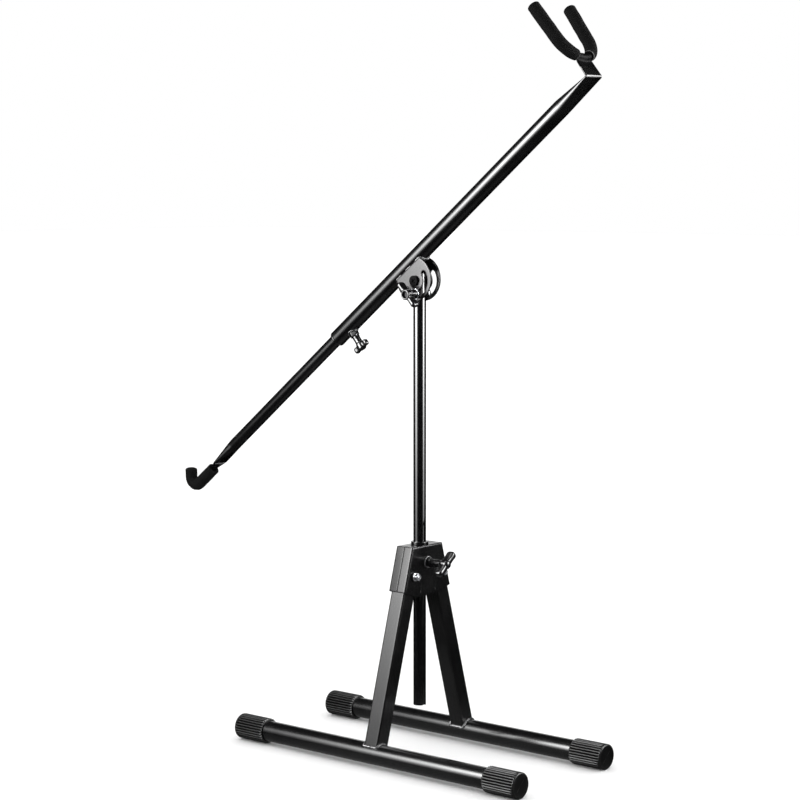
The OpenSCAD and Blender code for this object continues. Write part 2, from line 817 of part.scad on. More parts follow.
module tilt_knob() {
    low = cheek_inner + cheek_t + tilt_washer_t + 2 * fixed_gap;
    socket = 3.2;
    color(black) translate([0, 0, tilt_height - clamp_drop]) rotate([90, 0, 0])
        rotate([0, 0, tilt_wing_turn]) difference() {
            wing_knob(tilt_barrel_r, low, tilt_knob_end, wing_span, insert_r + run_gap,
                low + insert_long + fixed_gap);
            translate([0, 0, low]) cylinder(r = screw_r, h = tilt_knob_end);
            translate([0, 0, tilt_knob_end - socket]) cylinder(r = screw_r + 0.6, h = socket + cut);
        }
}

front_shell();
rear_shell();
guide_tube();
top_bushing();
bottom_bushing();
mast_weld_nut();
leg_pivot_sleeves();
leg_pivot_bolts();
leg_pivot_spacers();
leg_pivot_nuts();
near_leg();
near_foot_bar();
near_foot_caps();
far_leg();
far_foot_bar();
far_foot_caps();
mast_tube();
mast_top_plug();
tilt_pivot_bolt();
tilt_pivot_nut();
tilt_clamp_bolt();
tilt_washers();
boom_tube();
tilt_bracket();
boom_bushing();
boom_weld_nut();
yoke_rod();
near_yoke_sleeve();
far_yoke_sleeve();
inner_tube();
inner_glide();
hook_rod();
hook_sleeve();
mast_screw();
mast_knob();
boom_screw();
boom_knob();
tilt_insert();
tilt_knob();
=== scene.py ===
import json
import math

import bmesh
import bpy
import numpy as np
from mathutils import Matrix, Vector, noise


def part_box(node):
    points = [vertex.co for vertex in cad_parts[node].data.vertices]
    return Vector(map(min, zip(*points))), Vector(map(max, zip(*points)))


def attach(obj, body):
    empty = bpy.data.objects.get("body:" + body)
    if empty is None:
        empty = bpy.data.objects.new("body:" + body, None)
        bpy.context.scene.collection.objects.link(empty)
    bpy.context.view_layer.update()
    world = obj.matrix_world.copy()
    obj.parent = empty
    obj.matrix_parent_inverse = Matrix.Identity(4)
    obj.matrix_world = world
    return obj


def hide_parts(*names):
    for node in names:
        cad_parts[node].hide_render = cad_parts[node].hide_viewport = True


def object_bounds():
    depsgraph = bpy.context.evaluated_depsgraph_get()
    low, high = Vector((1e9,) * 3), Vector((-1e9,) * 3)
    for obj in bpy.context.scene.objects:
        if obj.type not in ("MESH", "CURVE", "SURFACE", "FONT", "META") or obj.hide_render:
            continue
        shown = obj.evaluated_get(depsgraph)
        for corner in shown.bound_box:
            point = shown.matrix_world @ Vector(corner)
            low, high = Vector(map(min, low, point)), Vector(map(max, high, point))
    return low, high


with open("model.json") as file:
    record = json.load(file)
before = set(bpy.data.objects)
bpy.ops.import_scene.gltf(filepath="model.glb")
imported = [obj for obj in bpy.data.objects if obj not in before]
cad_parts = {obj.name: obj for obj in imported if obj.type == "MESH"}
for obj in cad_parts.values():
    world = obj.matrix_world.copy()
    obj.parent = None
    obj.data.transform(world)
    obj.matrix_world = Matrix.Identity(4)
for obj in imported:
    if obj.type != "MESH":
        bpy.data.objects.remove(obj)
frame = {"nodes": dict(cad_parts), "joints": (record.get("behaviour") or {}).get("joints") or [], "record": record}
cad_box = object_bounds()

MM = 0.001
scene = bpy.context.scene
# Fixes the unsteadiness of the welds, so that each run draws the same
noise.seed_set(1)
JOINTS = {joint["name"]: joint for joint in frame["joints"]}

# The boom's own frame, in mm: x runs up along the boom, y across the stand, z from the pivot to the boom
PIVOT = np.array(JOINTS["boom_tilt"]["pos_m"], float)
ALONG = -np.array(JOINTS["inner_extend"]["axis"], float)
ALONG /= np.linalg.norm(ALONG)
ACROSS = np.array([0.0, 1.0, 0.0])
AWAY = np.cross(ALONG, ACROSS)


def node_points(node):
    """A CAD node's vertices in metres."""
    mesh = frame["nodes"][node].data
    points = np.empty(len(mesh.vertices) * 3, np.float32)
    mesh.vertices.foreach_get("co", points)
    return points.reshape(-1, 3).astype(float)


def span(node, direction):
    """Lowest and highest reach of a CAD node along a direction, in mm from the pivot."""
    reach = (node_points(node) - PIVOT) @ direction / MM
    return reach.min(), reach.max()


# From the pivot to the boom tube's axis, which is z = 0 in the boom's frame
OFFSET = sum(span("boom_bushing", AWAY)) / 2


def boom_point(x, y, z):
    """Point of the boom's frame, in metres in the shared frame."""
    return PIVOT + (ALONG * x + ACROSS * y + AWAY * (z + OFFSET)) * MM


# ---------------------------------------------------------------- materials

NOISE_LOW, NOISE_HIGH = 0.3, 0.7


def new_material(name):
    """Material with its node tree and its main shader."""
    material = bpy.data.materials.new(name)
    material.use_nodes = True
    tree = material.node_tree
    return material, tree, tree.nodes["Principled BSDF"]


def noise_node(tree, scale, detail, rough):
    """Noise in the piece's own space, scale being its cells per metre."""
    coords = tree.nodes.get("Coords") or tree.nodes.new("ShaderNodeTexCoord")
    coords.name = "Coords"
    node = tree.nodes.new("ShaderNodeTexNoise")
    node.inputs["Scale"].default_value = scale
    node.inputs["Detail"].default_value = detail
    node.inputs["Roughness"].default_value = rough
    tree.links.new(coords.outputs["Object"], node.inputs["Vector"])
    return node


def ramp(tree, source, low, high, dark, light):
    """Colour from dark, where the source is low, to light, where it is high."""
    node = tree.nodes.new("ShaderNodeValToRGB")
    node.color_ramp.elements[0].position = low
    node.color_ramp.elements[1].position = high
    node.color_ramp.elements[0].color = (*dark, 1)
    node.color_ramp.elements[1].color = (*light, 1)
    tree.links.new(source, node.inputs["Fac"])
    return node


def spread(tree, source, low, high):
    """A noise's usual range, stretched to run from low to high."""
    node = tree.nodes.new("ShaderNodeMapRange")
    node.inputs["From Min"].default_value = NOISE_LOW
    node.inputs["From Max"].default_value = NOISE_HIGH
    node.inputs["To Min"].default_value = low
    node.inputs["To Max"].default_value = high
    tree.links.new(source, node.inputs["Value"])
    return node


def bump(tree, shader, source, strength, distance, under=None):
    """Raise the surface by a source, on top of the normal under it."""
    node = tree.nodes.new("ShaderNodeBump")
    node.inputs["Strength"].default_value = strength
    node.inputs["Distance"].default_value = distance
    tree.links.new(source, node.inputs["Height"])
    if under is not None:
        tree.links.new(under.outputs["Normal"], node.inputs["Normal"])
    tree.links.new(node.outputs["Normal"], shader.inputs["Normal"])
    return node


def bevel_node(tree, radius, samples):
    """Normal of the surface with its edges rounded to a radius in metres."""
    bevel = tree.nodes.new("ShaderNodeBevel")
    bevel.samples = samples
    bevel.inputs["Radius"].default_value = radius
    return bevel


def edge_mask(tree, radius):
    """White where the surface turns within a radius, and black where it is flat."""
    worn_cosine, flat_cosine = 0.86, 0.985
    bevel = bevel_node(tree, radius, 4)
    geometry = tree.nodes.new("ShaderNodeNewGeometry")
    dot = tree.nodes.new("ShaderNodeVectorMath")
    dot.operation = "DOT_PRODUCT"
    tree.links.new(bevel.outputs["Normal"], dot.inputs[0])
    tree.links.new(geometry.outputs["Normal"], dot.inputs[1])
    node = tree.nodes.new("ShaderNodeMapRange")
    node.inputs["From Min"].default_value = flat_cosine
    node.inputs["From Max"].default_value = worn_cosine
    tree.links.new(dot.outputs["Value"], node.inputs["Value"])
    return node


def worn(tree, base, wear):
    """The base colour, with a paler one showing in patches along the edges."""
    patch = noise_node(tree, wear["patch"], 4.0, 0.65)
    amount = tree.nodes.new("ShaderNodeMath")
    amount.operation = "MULTIPLY"
    share = spread(tree, patch.outputs["Fac"], 0.0, wear["amount"])
    tree.links.new(edge_mask(tree, wear["radius"]).outputs["Result"], amount.inputs[0])
    tree.links.new(share.outputs["Result"], amount.inputs[1])
    mix = tree.nodes.new("ShaderNodeMixRGB")
    mix.inputs["Color2"].default_value = (*wear["colour"], 1)
    tree.links.new(amount.outputs["Value"], mix.inputs["Fac"])
    tree.links.new(base, mix.inputs["Color1"])
    return mix.outputs["Color"]


def leaning(tree, bevel, lean):
    """A bevel's normal, tipped a little, for sheet that isn't quite flat."""
    tipped = tree.nodes.new("ShaderNodeVectorMath")
    tipped.inputs[1].default_value = lean
    tree.links.new(bevel.outputs["Normal"], tipped.inputs[0])
    level = tree.nodes.new("ShaderNodeVectorMath")
    level.operation = "NORMALIZE"
    tree.links.new(tipped.outputs["Vector"], level.inputs[0])
    return level


def painted_groove_shade(tree, shader, grooves, specular):
    """Take the gloss out of grooves, as painted shade in them, from the range of pointiness between a groove and a
    crest.
    """
    groove_specular = 0.02
    geometry = tree.nodes.new("ShaderNodeNewGeometry")
    lit = tree.nodes.new("ShaderNodeMapRange")
    lit.inputs["From Min"].default_value, lit.inputs["From Max"].default_value = grooves
    lit.inputs["To Min"].default_value = groove_specular
    lit.inputs["To Max"].default_value = specular
    tree.links.new(geometry.outputs["Pointiness"], lit.inputs["Value"])
    tree.links.new(lit.outputs["Result"], shader.inputs["Specular IOR Level"])


def surface(name, colours, rough, grain, coarse=18.0, bump_size=0.00004, bump_strength=0.3, metal=0.0,
            coat=0.0, specular=0.5, wear=None, round_edges=None, lean=None, grooves=None):
    """A solid finish with uneven colour and gloss, two sizes of grain in its surface, and worn edges.

    colours and rough are each a lowest and highest value, grain and coarse are cells per metre, and
    bump_size and round_edges are in metres.
    """
    coat_rough = 0.12
    smudge_strength, smudge_size = 0.12, 0.0002
    material, tree, shader = new_material(name)
    broad = noise_node(tree, coarse, 4.0, 0.6)
    fine = noise_node(tree, grain, 3.0, 0.6)
    smudge = noise_node(tree, coarse * 2.3, 5.0, 0.65)
    base = ramp(tree, broad.outputs["Fac"], 0.35, 0.68, *colours).outputs["Color"]
    if wear:
        base = worn(tree, base, wear)
    tree.links.new(base, shader.inputs["Base Color"])
    gloss = spread(tree, smudge.outputs["Fac"], *rough)
    tree.links.new(gloss.outputs["Result"], shader.inputs["Roughness"])
    first = bump(tree, shader, smudge.outputs["Fac"], smudge_strength, smudge_size)
    if round_edges:
        under = bevel_node(tree, round_edges, 8)
        if lean:
            under = leaning(tree, under, lean)
        tree.links.new(under.outputs[0], first.inputs["Normal"])
    bump(tree, shader, fine.outputs["Fac"], bump_strength, bump_size, first)
    shader.inputs["Metallic"].default_value = metal
    shader.inputs["Coat Weight"].default_value = coat
    shader.inputs["Coat Roughness"].default_value = coat_rough
    shader.inputs["Specular IOR Level"].default_value = specular
    if grooves:
        painted_groove_shade(tree, shader, grooves, specular)
    return material


POWDER_COLOURS = (0.0016, 0.0016, 0.0018), (0.004, 0.004, 0.0043)
POWDER_WEAR = {"radius": 0.0006, "patch": 120, "amount": 0.4, "colour": (0.05, 0.05, 0.053)}
POWDER_GRAIN = {"grain": 1500, "bump_size": 0.00002, "bump_strength": 0.14, "wear": POWDER_WEAR}
SHEET_EDGE = 0.0028

POWDER = surface("powder_coat_black", POWDER_COLOURS, (0.20, 0.27), coat=0.3, **POWDER_GRAIN)
SHEET = surface("powder_coat_sheet", POWDER_COLOURS, (0.20, 0.27), coat=0.1, specular=0.4,
                round_edges=SHEET_EDGE, **POWDER_GRAIN)
REAR_SHEET = surface("powder_coat_rear_sheet", POWDER_COLOURS, (0.20, 0.27), coat=0.1, specular=0.4,
                     round_edges=SHEET_EDGE, lean=(-0.07, 0.0, 0.0), **POWDER_GRAIN)
# A darker, almost glossless copy of the powder coat, used as painted shade on the top of the boom's neck, the yoke
# rod and the bracket's pivot bolt.
MATTE_SHADE = surface("powder_coat_matte_painted_shade", ((0.0014, 0.0014, 0.0016), (0.0035, 0.0035, 0.0038)), (0.4, 0.5), 1200,
                bump_size=0.00003, bump_strength=0.25, specular=0.03)
GLOSS = surface("gloss_black", ((0.0014, 0.0014, 0.0016), (0.003, 0.003, 0.0033)), (0.14, 0.20), 1500,
                bump_size=0.00002, bump_strength=0.1, coat=1.0, specular=1.0,
                wear={**POWDER_WEAR, "amount": 0.3})
# Paint over the welds. Its paler colour, up to a mid grey, is a painted highlight for the glints on the beads; the
# coat and bumps are the beads' own.
WELD = surface("powder_over_weld_painted_highlight", ((0.008, 0.008, 0.0085), (0.10, 0.10, 0.103)), (0.12, 0.2), 700,
               bump_size=0.0003, bump_strength=0.8, coat=1.0)
PLASTIC = surface("moulded_plastic_black", ((0.003, 0.003, 0.0033), (0.008, 0.008, 0.0085)), (0.15, 0.25),
                  2600, bump_size=0.00002, bump_strength=0.25, coat=0.5,
                  wear={"radius": 0.0005, "patch": 200, "amount": 0.4, "colour": (0.06, 0.06, 0.06)})
# The caps' grooves lose their gloss, as painted shade.
RUBBER = surface("rubber_black", ((0.002, 0.002, 0.002), (0.006, 0.006, 0.0062)), (0.32, 0.44), 1800,
                 bump_strength=0.35, specular=0.8, grooves=(0.49, 0.54),
                 wear={"radius": 0.0004, "patch": 160, "amount": 0.45, "colour": (0.03, 0.03, 0.03)})
ZINC = surface("zinc_plate", ((0.66, 0.67, 0.70), (0.84, 0.85, 0.88)), (0.16, 0.30), 2200, coarse=60,
               bump_size=0.00003, metal=0.93)
OXIDE = surface("black_oxide_steel", ((0.006, 0.006, 0.007), (0.02, 0.02, 0.021)), (0.2, 0.32), 2000,
                specular=0.2,
                wear={"radius": 0.0004, "patch": 200, "amount": 0.6, "colour": (0.2, 0.2, 0.21)})


def foam_material(name, dark, light):
    """Closed-cell foam: pits of two sizes, with paler walls between them."""
    cells_per_m, pores_per_m, patches_per_m = 1300, 2600, 160
    pit_depth, pore_depth = 0.0005, 0.0003
    material, tree, shader = new_material(name)
    fine = noise_node(tree, pores_per_m, 3.0, 0.7)
    broad = noise_node(tree, patches_per_m, 4.0, 0.6)
    cells = tree.nodes.new("ShaderNodeTexVoronoi")
    cells.inputs["Scale"].default_value = cells_per_m
    tree.links.new(tree.nodes["Coords"].outputs["Object"], cells.inputs["Vector"])
    colour = ramp(tree, fine.outputs["Fac"], 0.38, 0.72, dark, light)
    tone = ramp(tree, broad.outputs["Fac"], NOISE_LOW, NOISE_HIGH, (0.55, 0.55, 0.55), (1.0, 1.0, 1.0))
    mix = tree.nodes.new("ShaderNodeMixRGB")
    mix.blend_type = "MULTIPLY"
    mix.inputs["Fac"].default_value = 1.0
    tree.links.new(colour.outputs["Color"], mix.inputs["Color1"])
    tree.links.new(tone.outputs["Color"], mix.inputs["Color2"])
    tree.links.new(mix.outputs["Color"], shader.inputs["Base Color"])
    shader.inputs["Roughness"].default_value = 0.82
    shader.inputs["Sheen Weight"].default_value = 0.01
    shader.inputs["Sheen Roughness"].default_value = 0.6
    shader.inputs["Specular IOR Level"].default_value = 0.06
    first = bump(tree, shader, cells.outputs["Distance"], 0.7, pit_depth)
    bump(tree, shader, fine.outputs["Fac"], 0.6, pore_depth, first)
    return material


FOAM = foam_material("foam_black", (0.0006, 0.0006, 0.0006), (0.008, 0.008, 0.0082))
# Paler foam for the yoke sleeves' open ends: a painted highlight, the light that the cut rim catches.
FOAM_RIM_HIGHLIGHT = foam_material("foam_cut_edge_painted_highlight", (0.08, 0.08, 0.08), (0.32, 0.32, 0.32))
SLOTS = {"powder_coat": POWDER, "plastic": PLASTIC, "rubber": RUBBER, "zinc": ZINC, "black_oxide": OXIDE,
         "foam": FOAM}

# ---------------------------------------------------------------- mesh helpers


def add(name, verts, faces, material, body, slot, sharp=35, replaced=()):
    """One finished piece of the stand, its vertices in metres in the shared frame."""
    mesh = bpy.data.meshes.new(name)
    mesh.from_pydata([tuple(map(float, v)) for v in verts], [], [tuple(map(int, f)) for f in faces])
    work = bmesh.new()
    work.from_mesh(mesh)
    bmesh.ops.recalc_face_normals(work, faces=work.faces)
    work.to_mesh(mesh)
    work.free()
    mesh.polygons.foreach_set("use_smooth", [True] * len(mesh.polygons))
    mesh.set_sharp_from_angle(angle=math.radians(sharp))
    mesh.materials.append(material)
    piece = bpy.data.objects.new(name, mesh)
    scene.collection.objects.link(piece)
    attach(piece, body)
    if replaced:
        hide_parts(*replaced)
    return piece


def loft(rings, cap_first=True, cap_last=True):
    """Skin over rings with the same number of points."""
    rings = np.asarray(rings, float)
    count, size = rings.shape[:2]
    faces = []
    for i in range(count - 1):
        for j in range(size):
            k = (j + 1) % size
            faces.append((i * size + j, i * size + k, (i + 1) * size + k, (i + 1) * size + j))
    if cap_first:
        faces.append(tuple(range(size)))
    if cap_last:
        faces.append(tuple(range((count - 1) * size, count * size)))
    return rings.reshape(-1, 3), faces


def joined(*parts):
    """Several (verts, faces) pairs as one."""
    verts, faces, base = [], [], 0
    for part_verts, part_faces in parts:
        verts.append(np.asarray(part_verts, float))
        faces.extend(tuple(i + base for i in face) for face in part_faces)
        base += len(part_verts)
    return np.vstack(verts), faces


def full_turn(count):
    """Angles evenly round a circle."""
    return np.arange(count) * 2 * math.pi / count


def sweep(path, radii, across, sides, wobble=None, closed=False):
    """Round section carried along a path.

    radii is one value or one for each point, across is a direction or one for each point, and
    wobble(i, angles) is added to the radius at point i.
    """
    path = np.asarray(path, float)
    count = len(path)
    radii = np.broadcast_to(np.asarray(radii, float), (count,))
    if closed:
        tangents = np.roll(path, -1, 0) - np.roll(path, 1, 0)
    else:
        tangents = np.gradient(path, axis=0)
    tangents /= np.linalg.norm(tangents, axis=1)[:, None]
    angles = full_turn(sides)
    rings = []
    for i in range(count):
        side = np.asarray(across[i] if np.ndim(across) == 2 else across, float)
        side = side - tangents[i] * (side @ tangents[i])
        side /= np.linalg.norm(side)
        other = np.cross(tangents[i], side)
        r = radii[i] if wobble is None else radii[i] + wobble(i, angles)
        rings.append(path[i] + np.outer(np.cos(angles) * r, side) + np.outer(np.sin(angles) * r, other))
    if not closed:
        return loft(rings)
    verts, faces = loft(rings, False, False)
    last = (count - 1) * sides
    faces += [(last + j, last + (j + 1) % sides, (j + 1) % sides, j) for j in range(sides)]
    return verts, faces


def arc(centre, radius, first, last, count):
    """Points of an arc between two angles in degrees."""
    angles = np.linspace(math.radians(first), math.radians(last), count)
    return [(centre[0] + radius * math.cos(a), centre[1] + radius * math.sin(a)) for a in angles]


def leg_point(side, x, y, z):
    """Point of a leg's own frame, whose z runs up the leg from its foot bar's axis, in mm."""
    low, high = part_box("near_foot_bar" if side < 0 else "far_foot_bar")
    lean = side * math.radians(JOINTS["near_leg_fold"]["range_deg"][1])
    bar_y, bar_z = (low.y + high.y) / 2, (low.z + high.z) / 2
    return np.array([
        x * MM,
        bar_y + (y * math.cos(lean) - z * math.sin(lean)) * MM,
        bar_z + (y * math.sin(lean) + z * math.cos(lean)) * MM,
    ])


def weld(name, path, radius, body, up, closed=False, pitch=1.5):
    """Bead along a path in metres, laid in overlapping ripples and a little unsteady."""
    step, wander, unsteady, ripple_depth = 0.25, 0.22, 0.16, 0.2
    wander_scale, unsteady_scale = 320, 240
    path = np.asarray(path, float)
    if closed:
        path = np.vstack([path, path[:1]])
    lengths = np.linalg.norm(np.diff(path, axis=0), axis=1)
    reach = np.concatenate([[0], np.cumsum(lengths)])
    count = max(8, int(reach[-1] / (step * MM)))
    at = np.linspace(0, reach[-1], count, endpoint=not closed)
    line = np.stack([np.interp(at, reach, path[:, k]) for k in range(3)], 1)
    for i, point in enumerate(line):
        line[i] += np.array(noise.noise_vector(Vector(point * wander_scale))) * wander * MM
    phase = at / (pitch * MM)
    ripple = 1 - ripple_depth * (phase - np.floor(phase)) ** 1.5
    drift = np.array([noise.noise(Vector(point * unsteady_scale)) for point in line])
    radii = radius * MM * ripple * (1 + unsteady * drift)
    if not closed:
        ends = np.minimum(at, reach[-1] - at) / (1.2 * radius * MM)
        radii *= np.sqrt(np.clip(ends, 0.05, 1))
    verts, faces = sweep(line, radii, up, 12, closed=closed)
    # The bead's paler paint is a painted highlight.
    return add(name, verts, faces, WELD, body, "powder_coat", sharp=60)


# ---------------------------------------------------------------- boom and inner tube

SECTION = full_turn(96) + math.pi / 96
TUBE_WALL = 1.5


def pressed_section(t, round_r, flat_half, flat_t, drop):
    """Section of a tube between round (t = 0) and pressed flat (t = 1), as y and z."""
    r = (1 - t) * round_r + t * flat_t / 2
    slide = t * (flat_half - flat_t / 2)
    return np.stack([r * np.cos(SECTION) + slide * np.sign(np.cos(SECTION)),
                     r * np.sin(SECTION) + t * drop], 1)


def pressing(share):
    """How far a tube is pressed at a share of the way to its flat end, starting softly."""
    soft = 0.08
    return share * share / (2 * soft) if share < soft else (share - soft / 2) / (1 - soft / 2)


def section_ring(x, section):
    """Ring of the boom's frame at x from a section's y and z."""
    return np.array([boom_point(x, y, z) for y, z in section])


def round_ring(x, r):
    """Round ring about the boom's axis."""
    return section_ring(x, np.stack([r * np.cos(SECTION), r * np.sin(SECTION)], 1))


def tube_mouth(x, depth, radius):
    """Rings of a tube's open end at x, from its bore at x + depth to its small rounded lip."""
    lip = 0.3
    inward = lip * math.copysign(1, depth)
    inner = radius - TUBE_WALL
    return [round_ring(x + depth, inner), round_ring(x + inward, inner), round_ring(x, inner + lip),
            round_ring(x, radius - lip), round_ring(x + inward, radius)]


BOOM_R = 12.7
BOOM_LOW = span("boom_tube", ALONG)[0]
YOKE_X = sum(span("yoke_rod", ALONG)) / 2
ROD_R = (span("yoke_rod", ALONG)[1] - span("yoke_rod", ALONG)[0]) / 2
YOKE_Z = span("yoke_rod", AWAY)[0] - OFFSET + ROD_R
# The yoke's bend radius, its arms' outward lean and straight length, and where round the bend foam starts
YOKE_R, YOKE_LEAN, YOKE_ARM, SLEEVE_START = 36.5, 5.5, 60.5, 23.0
EYE_R = ROD_R + 1.2
BEND_X, BEND_R = YOKE_X - 1.6, 2.6
FLAT_T = 3.0
FLAT_DROP = -1.9
FLAT_HALF = span("boom_tube", ACROSS)[1]
NECK_TOP = YOKE_Z + 10.2
# Heights of the neck and its half widths there
NECK_OUTLINE = ((-3.4, FLAT_HALF), (23.7, FLAT_HALF - 1.35), (34.0, 12.9), (36.5, 11.4), (NECK_TOP, 8.9))


def neck_half(z):
    """Half width of the flat neck at height z above the boom's axis."""
    heights, halves = zip(*NECK_OUTLINE)
    return float(np.interp(z, heights, halves))


def eye_swell(y, z):
    """How far the neck's front stands out where it wraps the yoke's rod, blended softly into the flat."""
    slope, softness = 1.2, 1.1
    off = abs(math.hypot(y, z - YOKE_Z - YOKE_R) - YOKE_R)
    rise = YOKE_X - BEND_X
    rise += math.sqrt(EYE_R**2 - off**2) if off < EYE_R else -slope * (off - EYE_R)
    return math.log1p(math.exp(rise * softness)) / softness


def neck_ring(z, thick):
    """Ring of the neck at height z, flat behind and swollen in front."""
    half, ring = neck_half(z), []
    for a in SECTION:
        y = half * math.cos(a)
        edge = max(0.0, abs(y) - half + thick / 2) / (thick / 2)
        depth = thick / 2 if math.sin(a) > 0 else -thick / 2 - eye_swell(y, z)
        ring.append(boom_point(BEND_X - FLAT_T / 2 - depth * math.sqrt(max(0.0, 1 - edge * edge)), y, z))
    return np.array(ring)


def boom_rings():
    """The boom's outer tube: open end, pressed stretch, bend and neck."""
    press_long, press_end, bend_bulge = 65.5, 6.5, 0.10
    rings = tube_mouth(BOOM_LOW, 40, BOOM_R)
    stop = BEND_X - press_end
    start = stop - press_long
    for x in np.linspace(BOOM_LOW + TUBE_WALL, start - 2, 24):
        rings.append(round_ring(x, BOOM_R))
    for x in np.linspace(start, stop, 34):
        t = pressing((x - start) / press_long)
        rings.append(section_ring(x, pressed_section(t, BOOM_R, FLAT_HALF, FLAT_T, FLAT_DROP)))
    flat = pressed_section(1, BOOM_R, FLAT_HALF, FLAT_T, 0)
    centre_x, centre_z = BEND_X - FLAT_T / 2 - BEND_R, FLAT_DROP + BEND_R
    for angle in np.radians(np.linspace(-90, 0, 9)):
        out_x, out_z = math.cos(angle), math.sin(angle)
        swell = 1 + bend_bulge * math.sin(2 * (angle + math.pi / 2))
        rings.append(np.array([boom_point(centre_x + out_x * (BEND_R - n * swell), y,
                                          centre_z + out_z * (BEND_R - n * swell)) for y, n in flat]))
    for z in np.linspace(centre_z + 1, NECK_TOP - 0.5, 60):
        rings.append(neck_ring(z, FLAT_T))
    rings.append(neck_ring(NECK_TOP, FLAT_T * 0.6))
    return rings


tube = add("boom_outer_tube", *loft(boom_rings(), cap_first=False), POWDER, "boom", "powder_coat", sharp=50,
           replaced=("boom_tube",))
# The neck from 15 mm below the yoke's rod upwards takes the darker copy, as painted shade.
tube.data.materials.append(MATTE_SHADE)
painted_shade_from = boom_point(YOKE_X, 0, YOKE_Z - 15)
for face in tube.data.polygons:
    if (np.array(face.center) - painted_shade_from) @ AWAY > 0:
        face.material_index = 1

INNER_R = 9.525
INNER_T = 4.0
INNER_LOW, INNER_HIGH = span("inner_tube", ALONG)
INNER_HALF = span("inner_tube", ACROSS)[1]
HOOK_FOAM_R = 9.7
HOOK_Z = span("hook_sleeve", AWAY)[0] - OFFSET + HOOK_FOAM_R


def inner_rings():
    """The inner tube from its hidden open end to its pressed flat tip."""
    press_long, press_end = 44.5, 3.5
    rings = tube_mouth(INNER_HIGH, -20, INNER_R)
    stop = INNER_LOW + press_end
    start = stop + press_long
    for x in np.linspace(INNER_HIGH - TUBE_WALL, start + 2, 22):
        rings.append(round_ring(x, INNER_R))
    for x in np.linspace(start, stop, 30):
        t = pressing((start - x) / press_long)
        rings.append(section_ring(x, pressed_section(t, INNER_R, INNER_HALF, INNER_T, HOOK_Z)))
    for x, thick in ((INNER_LOW + 1.2, INNER_T), (INNER_LOW + 0.3, 3.5), (INNER_LOW, 2.8)):
        half = INNER_HALF - (INNER_T - thick) / 2
        rings.append(section_ring(x, pressed_section(1, INNER_R, half, thick, HOOK_Z)))
    return rings


add("boom_inner_tube", *loft(inner_rings(), cap_first=False), POWDER, "inner", "powder_coat", sharp=50,
    replaced=("inner_tube",))

# ---------------------------------------------------------------- mast and foot bars

MAST_R, MAST_WALL = 9.525, 1.6
# The flute is a round groove of FLUTE_R about a line FLUTE_X from the mast's axis, ending at FLUTE_TOP
FLUTE_X, FLUTE_R, FLUTE_TOP = 10.0, 3.2, 350.0


def mast_ring(z, outer=True):
    """Ring of the mast at height z, with the flute that the clamp screw bears on, and its soft edges."""
    flute_reach, edge_sharpness, run_out = 24, 3.5, 6
    angles = np.radians(np.concatenate([np.arange(-flute_reach, flute_reach, 1.0),
                                        np.arange(flute_reach, 360 - flute_reach, 4.0)]))
    left = max(0.0, FLUTE_R**2 - max(0.0, z - FLUTE_TOP) ** 2 / run_out)
    ring = []
    for a in angles:
        inside = left - (FLUTE_X * math.sin(a)) ** 2
        r = MAST_R
        if inside > 0 and math.cos(a) > 0:
            groove = FLUTE_X * math.cos(a) - math.sqrt(inside)
            both = math.exp(-groove * edge_sharpness) + math.exp(-MAST_R * edge_sharpness)
            r = -math.log(both) / edge_sharpness
        if not outer:
            r = min(r, MAST_R) - MAST_WALL
        ring.append((r * math.cos(a) * MM, r * math.sin(a) * MM, z * MM))
    return ring


def mast_rings():
    """The mast from its bore's depth, out over its open lower end and up to its top."""
    low, high = (corner.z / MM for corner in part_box("mast_tube"))
    heights = [low, low + 0.5, *np.linspace(low + 2, FLUTE_TOP - 2, 20),
               *np.linspace(FLUTE_TOP, FLUTE_TOP + 8, 12), *np.linspace(FLUTE_TOP + 12, high, 14)]
    return [mast_ring(low + 60, False), mast_ring(low, False)] + [mast_ring(z) for z in heights]


add("mast_tube_fluted", *loft(mast_rings(), cap_first=False), GLOSS, "mast", "powder_coat", sharp=50,
    replaced=("mast_tube",))

CAP_R, CAP_LONG, CAP_RIBS = 19.38, 57.0, 28
CAP_CORNER = 2.4


def x_ring(x, y, z, r, angles):
    """Ring in metres about an axis along x, r being one radius or one for each angle."""
    return np.stack([np.full(len(angles), x), y + r * np.cos(angles), z + r * np.sin(angles)], 1)


def foot_bar(name, node, body):
    """Round bar along x, as long as its CAD node."""
    low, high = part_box(node)
    y, z, r = (low.y + high.y) / 2, (low.z + high.z) / 2, (high.z - low.z) / 2
    rings = [x_ring(x, y, z, r, full_turn(96)) for x in np.linspace(low.x, high.x, 30)]
    add(name, *loft(rings), POWDER, body, "powder_coat", replaced=(node,))


def rib_depth(angles, s):
    """Depth of the grooves round a cap, s mm from its closed end."""
    deepest, start, run_in, run_out = 1.8, 1.6, 2.6, 3
    fade = np.clip((s - start) / run_in, 0, 1) * np.clip((CAP_LONG + 2 - s) / run_out, 0, 1)
    return deepest * fade * (0.5 + 0.5 * np.cos(CAP_RIBS * angles)) ** 1.3


def cap_profile(seed):
    """Distance from a cap's closed end, radius, and whether the ribs show there."""
    rings = [(0.75, 0.5, 0), (0.7, 6, 0), (0.45, 12, 0), (0.1, 15.5, 0), (0.02, 16.6, 0)]
    for turn in np.radians(np.linspace(90, 0, 8)):
        rings.append((CAP_CORNER * (1 - math.sin(turn)), CAP_R - CAP_CORNER * (1 - math.cos(turn)), 1))
    for s in np.linspace(3.2, CAP_LONG - 0.6, 22):
        sag = min(0, 0.12 * noise.noise(Vector((seed, s * 0.06, 0))))
        rings.append((s, CAP_R + sag, 1))
    return rings + [(CAP_LONG, CAP_R - 0.6, 1), (CAP_LONG, 16.2, 0), (CAP_LONG - 2, 15.9, 0)]


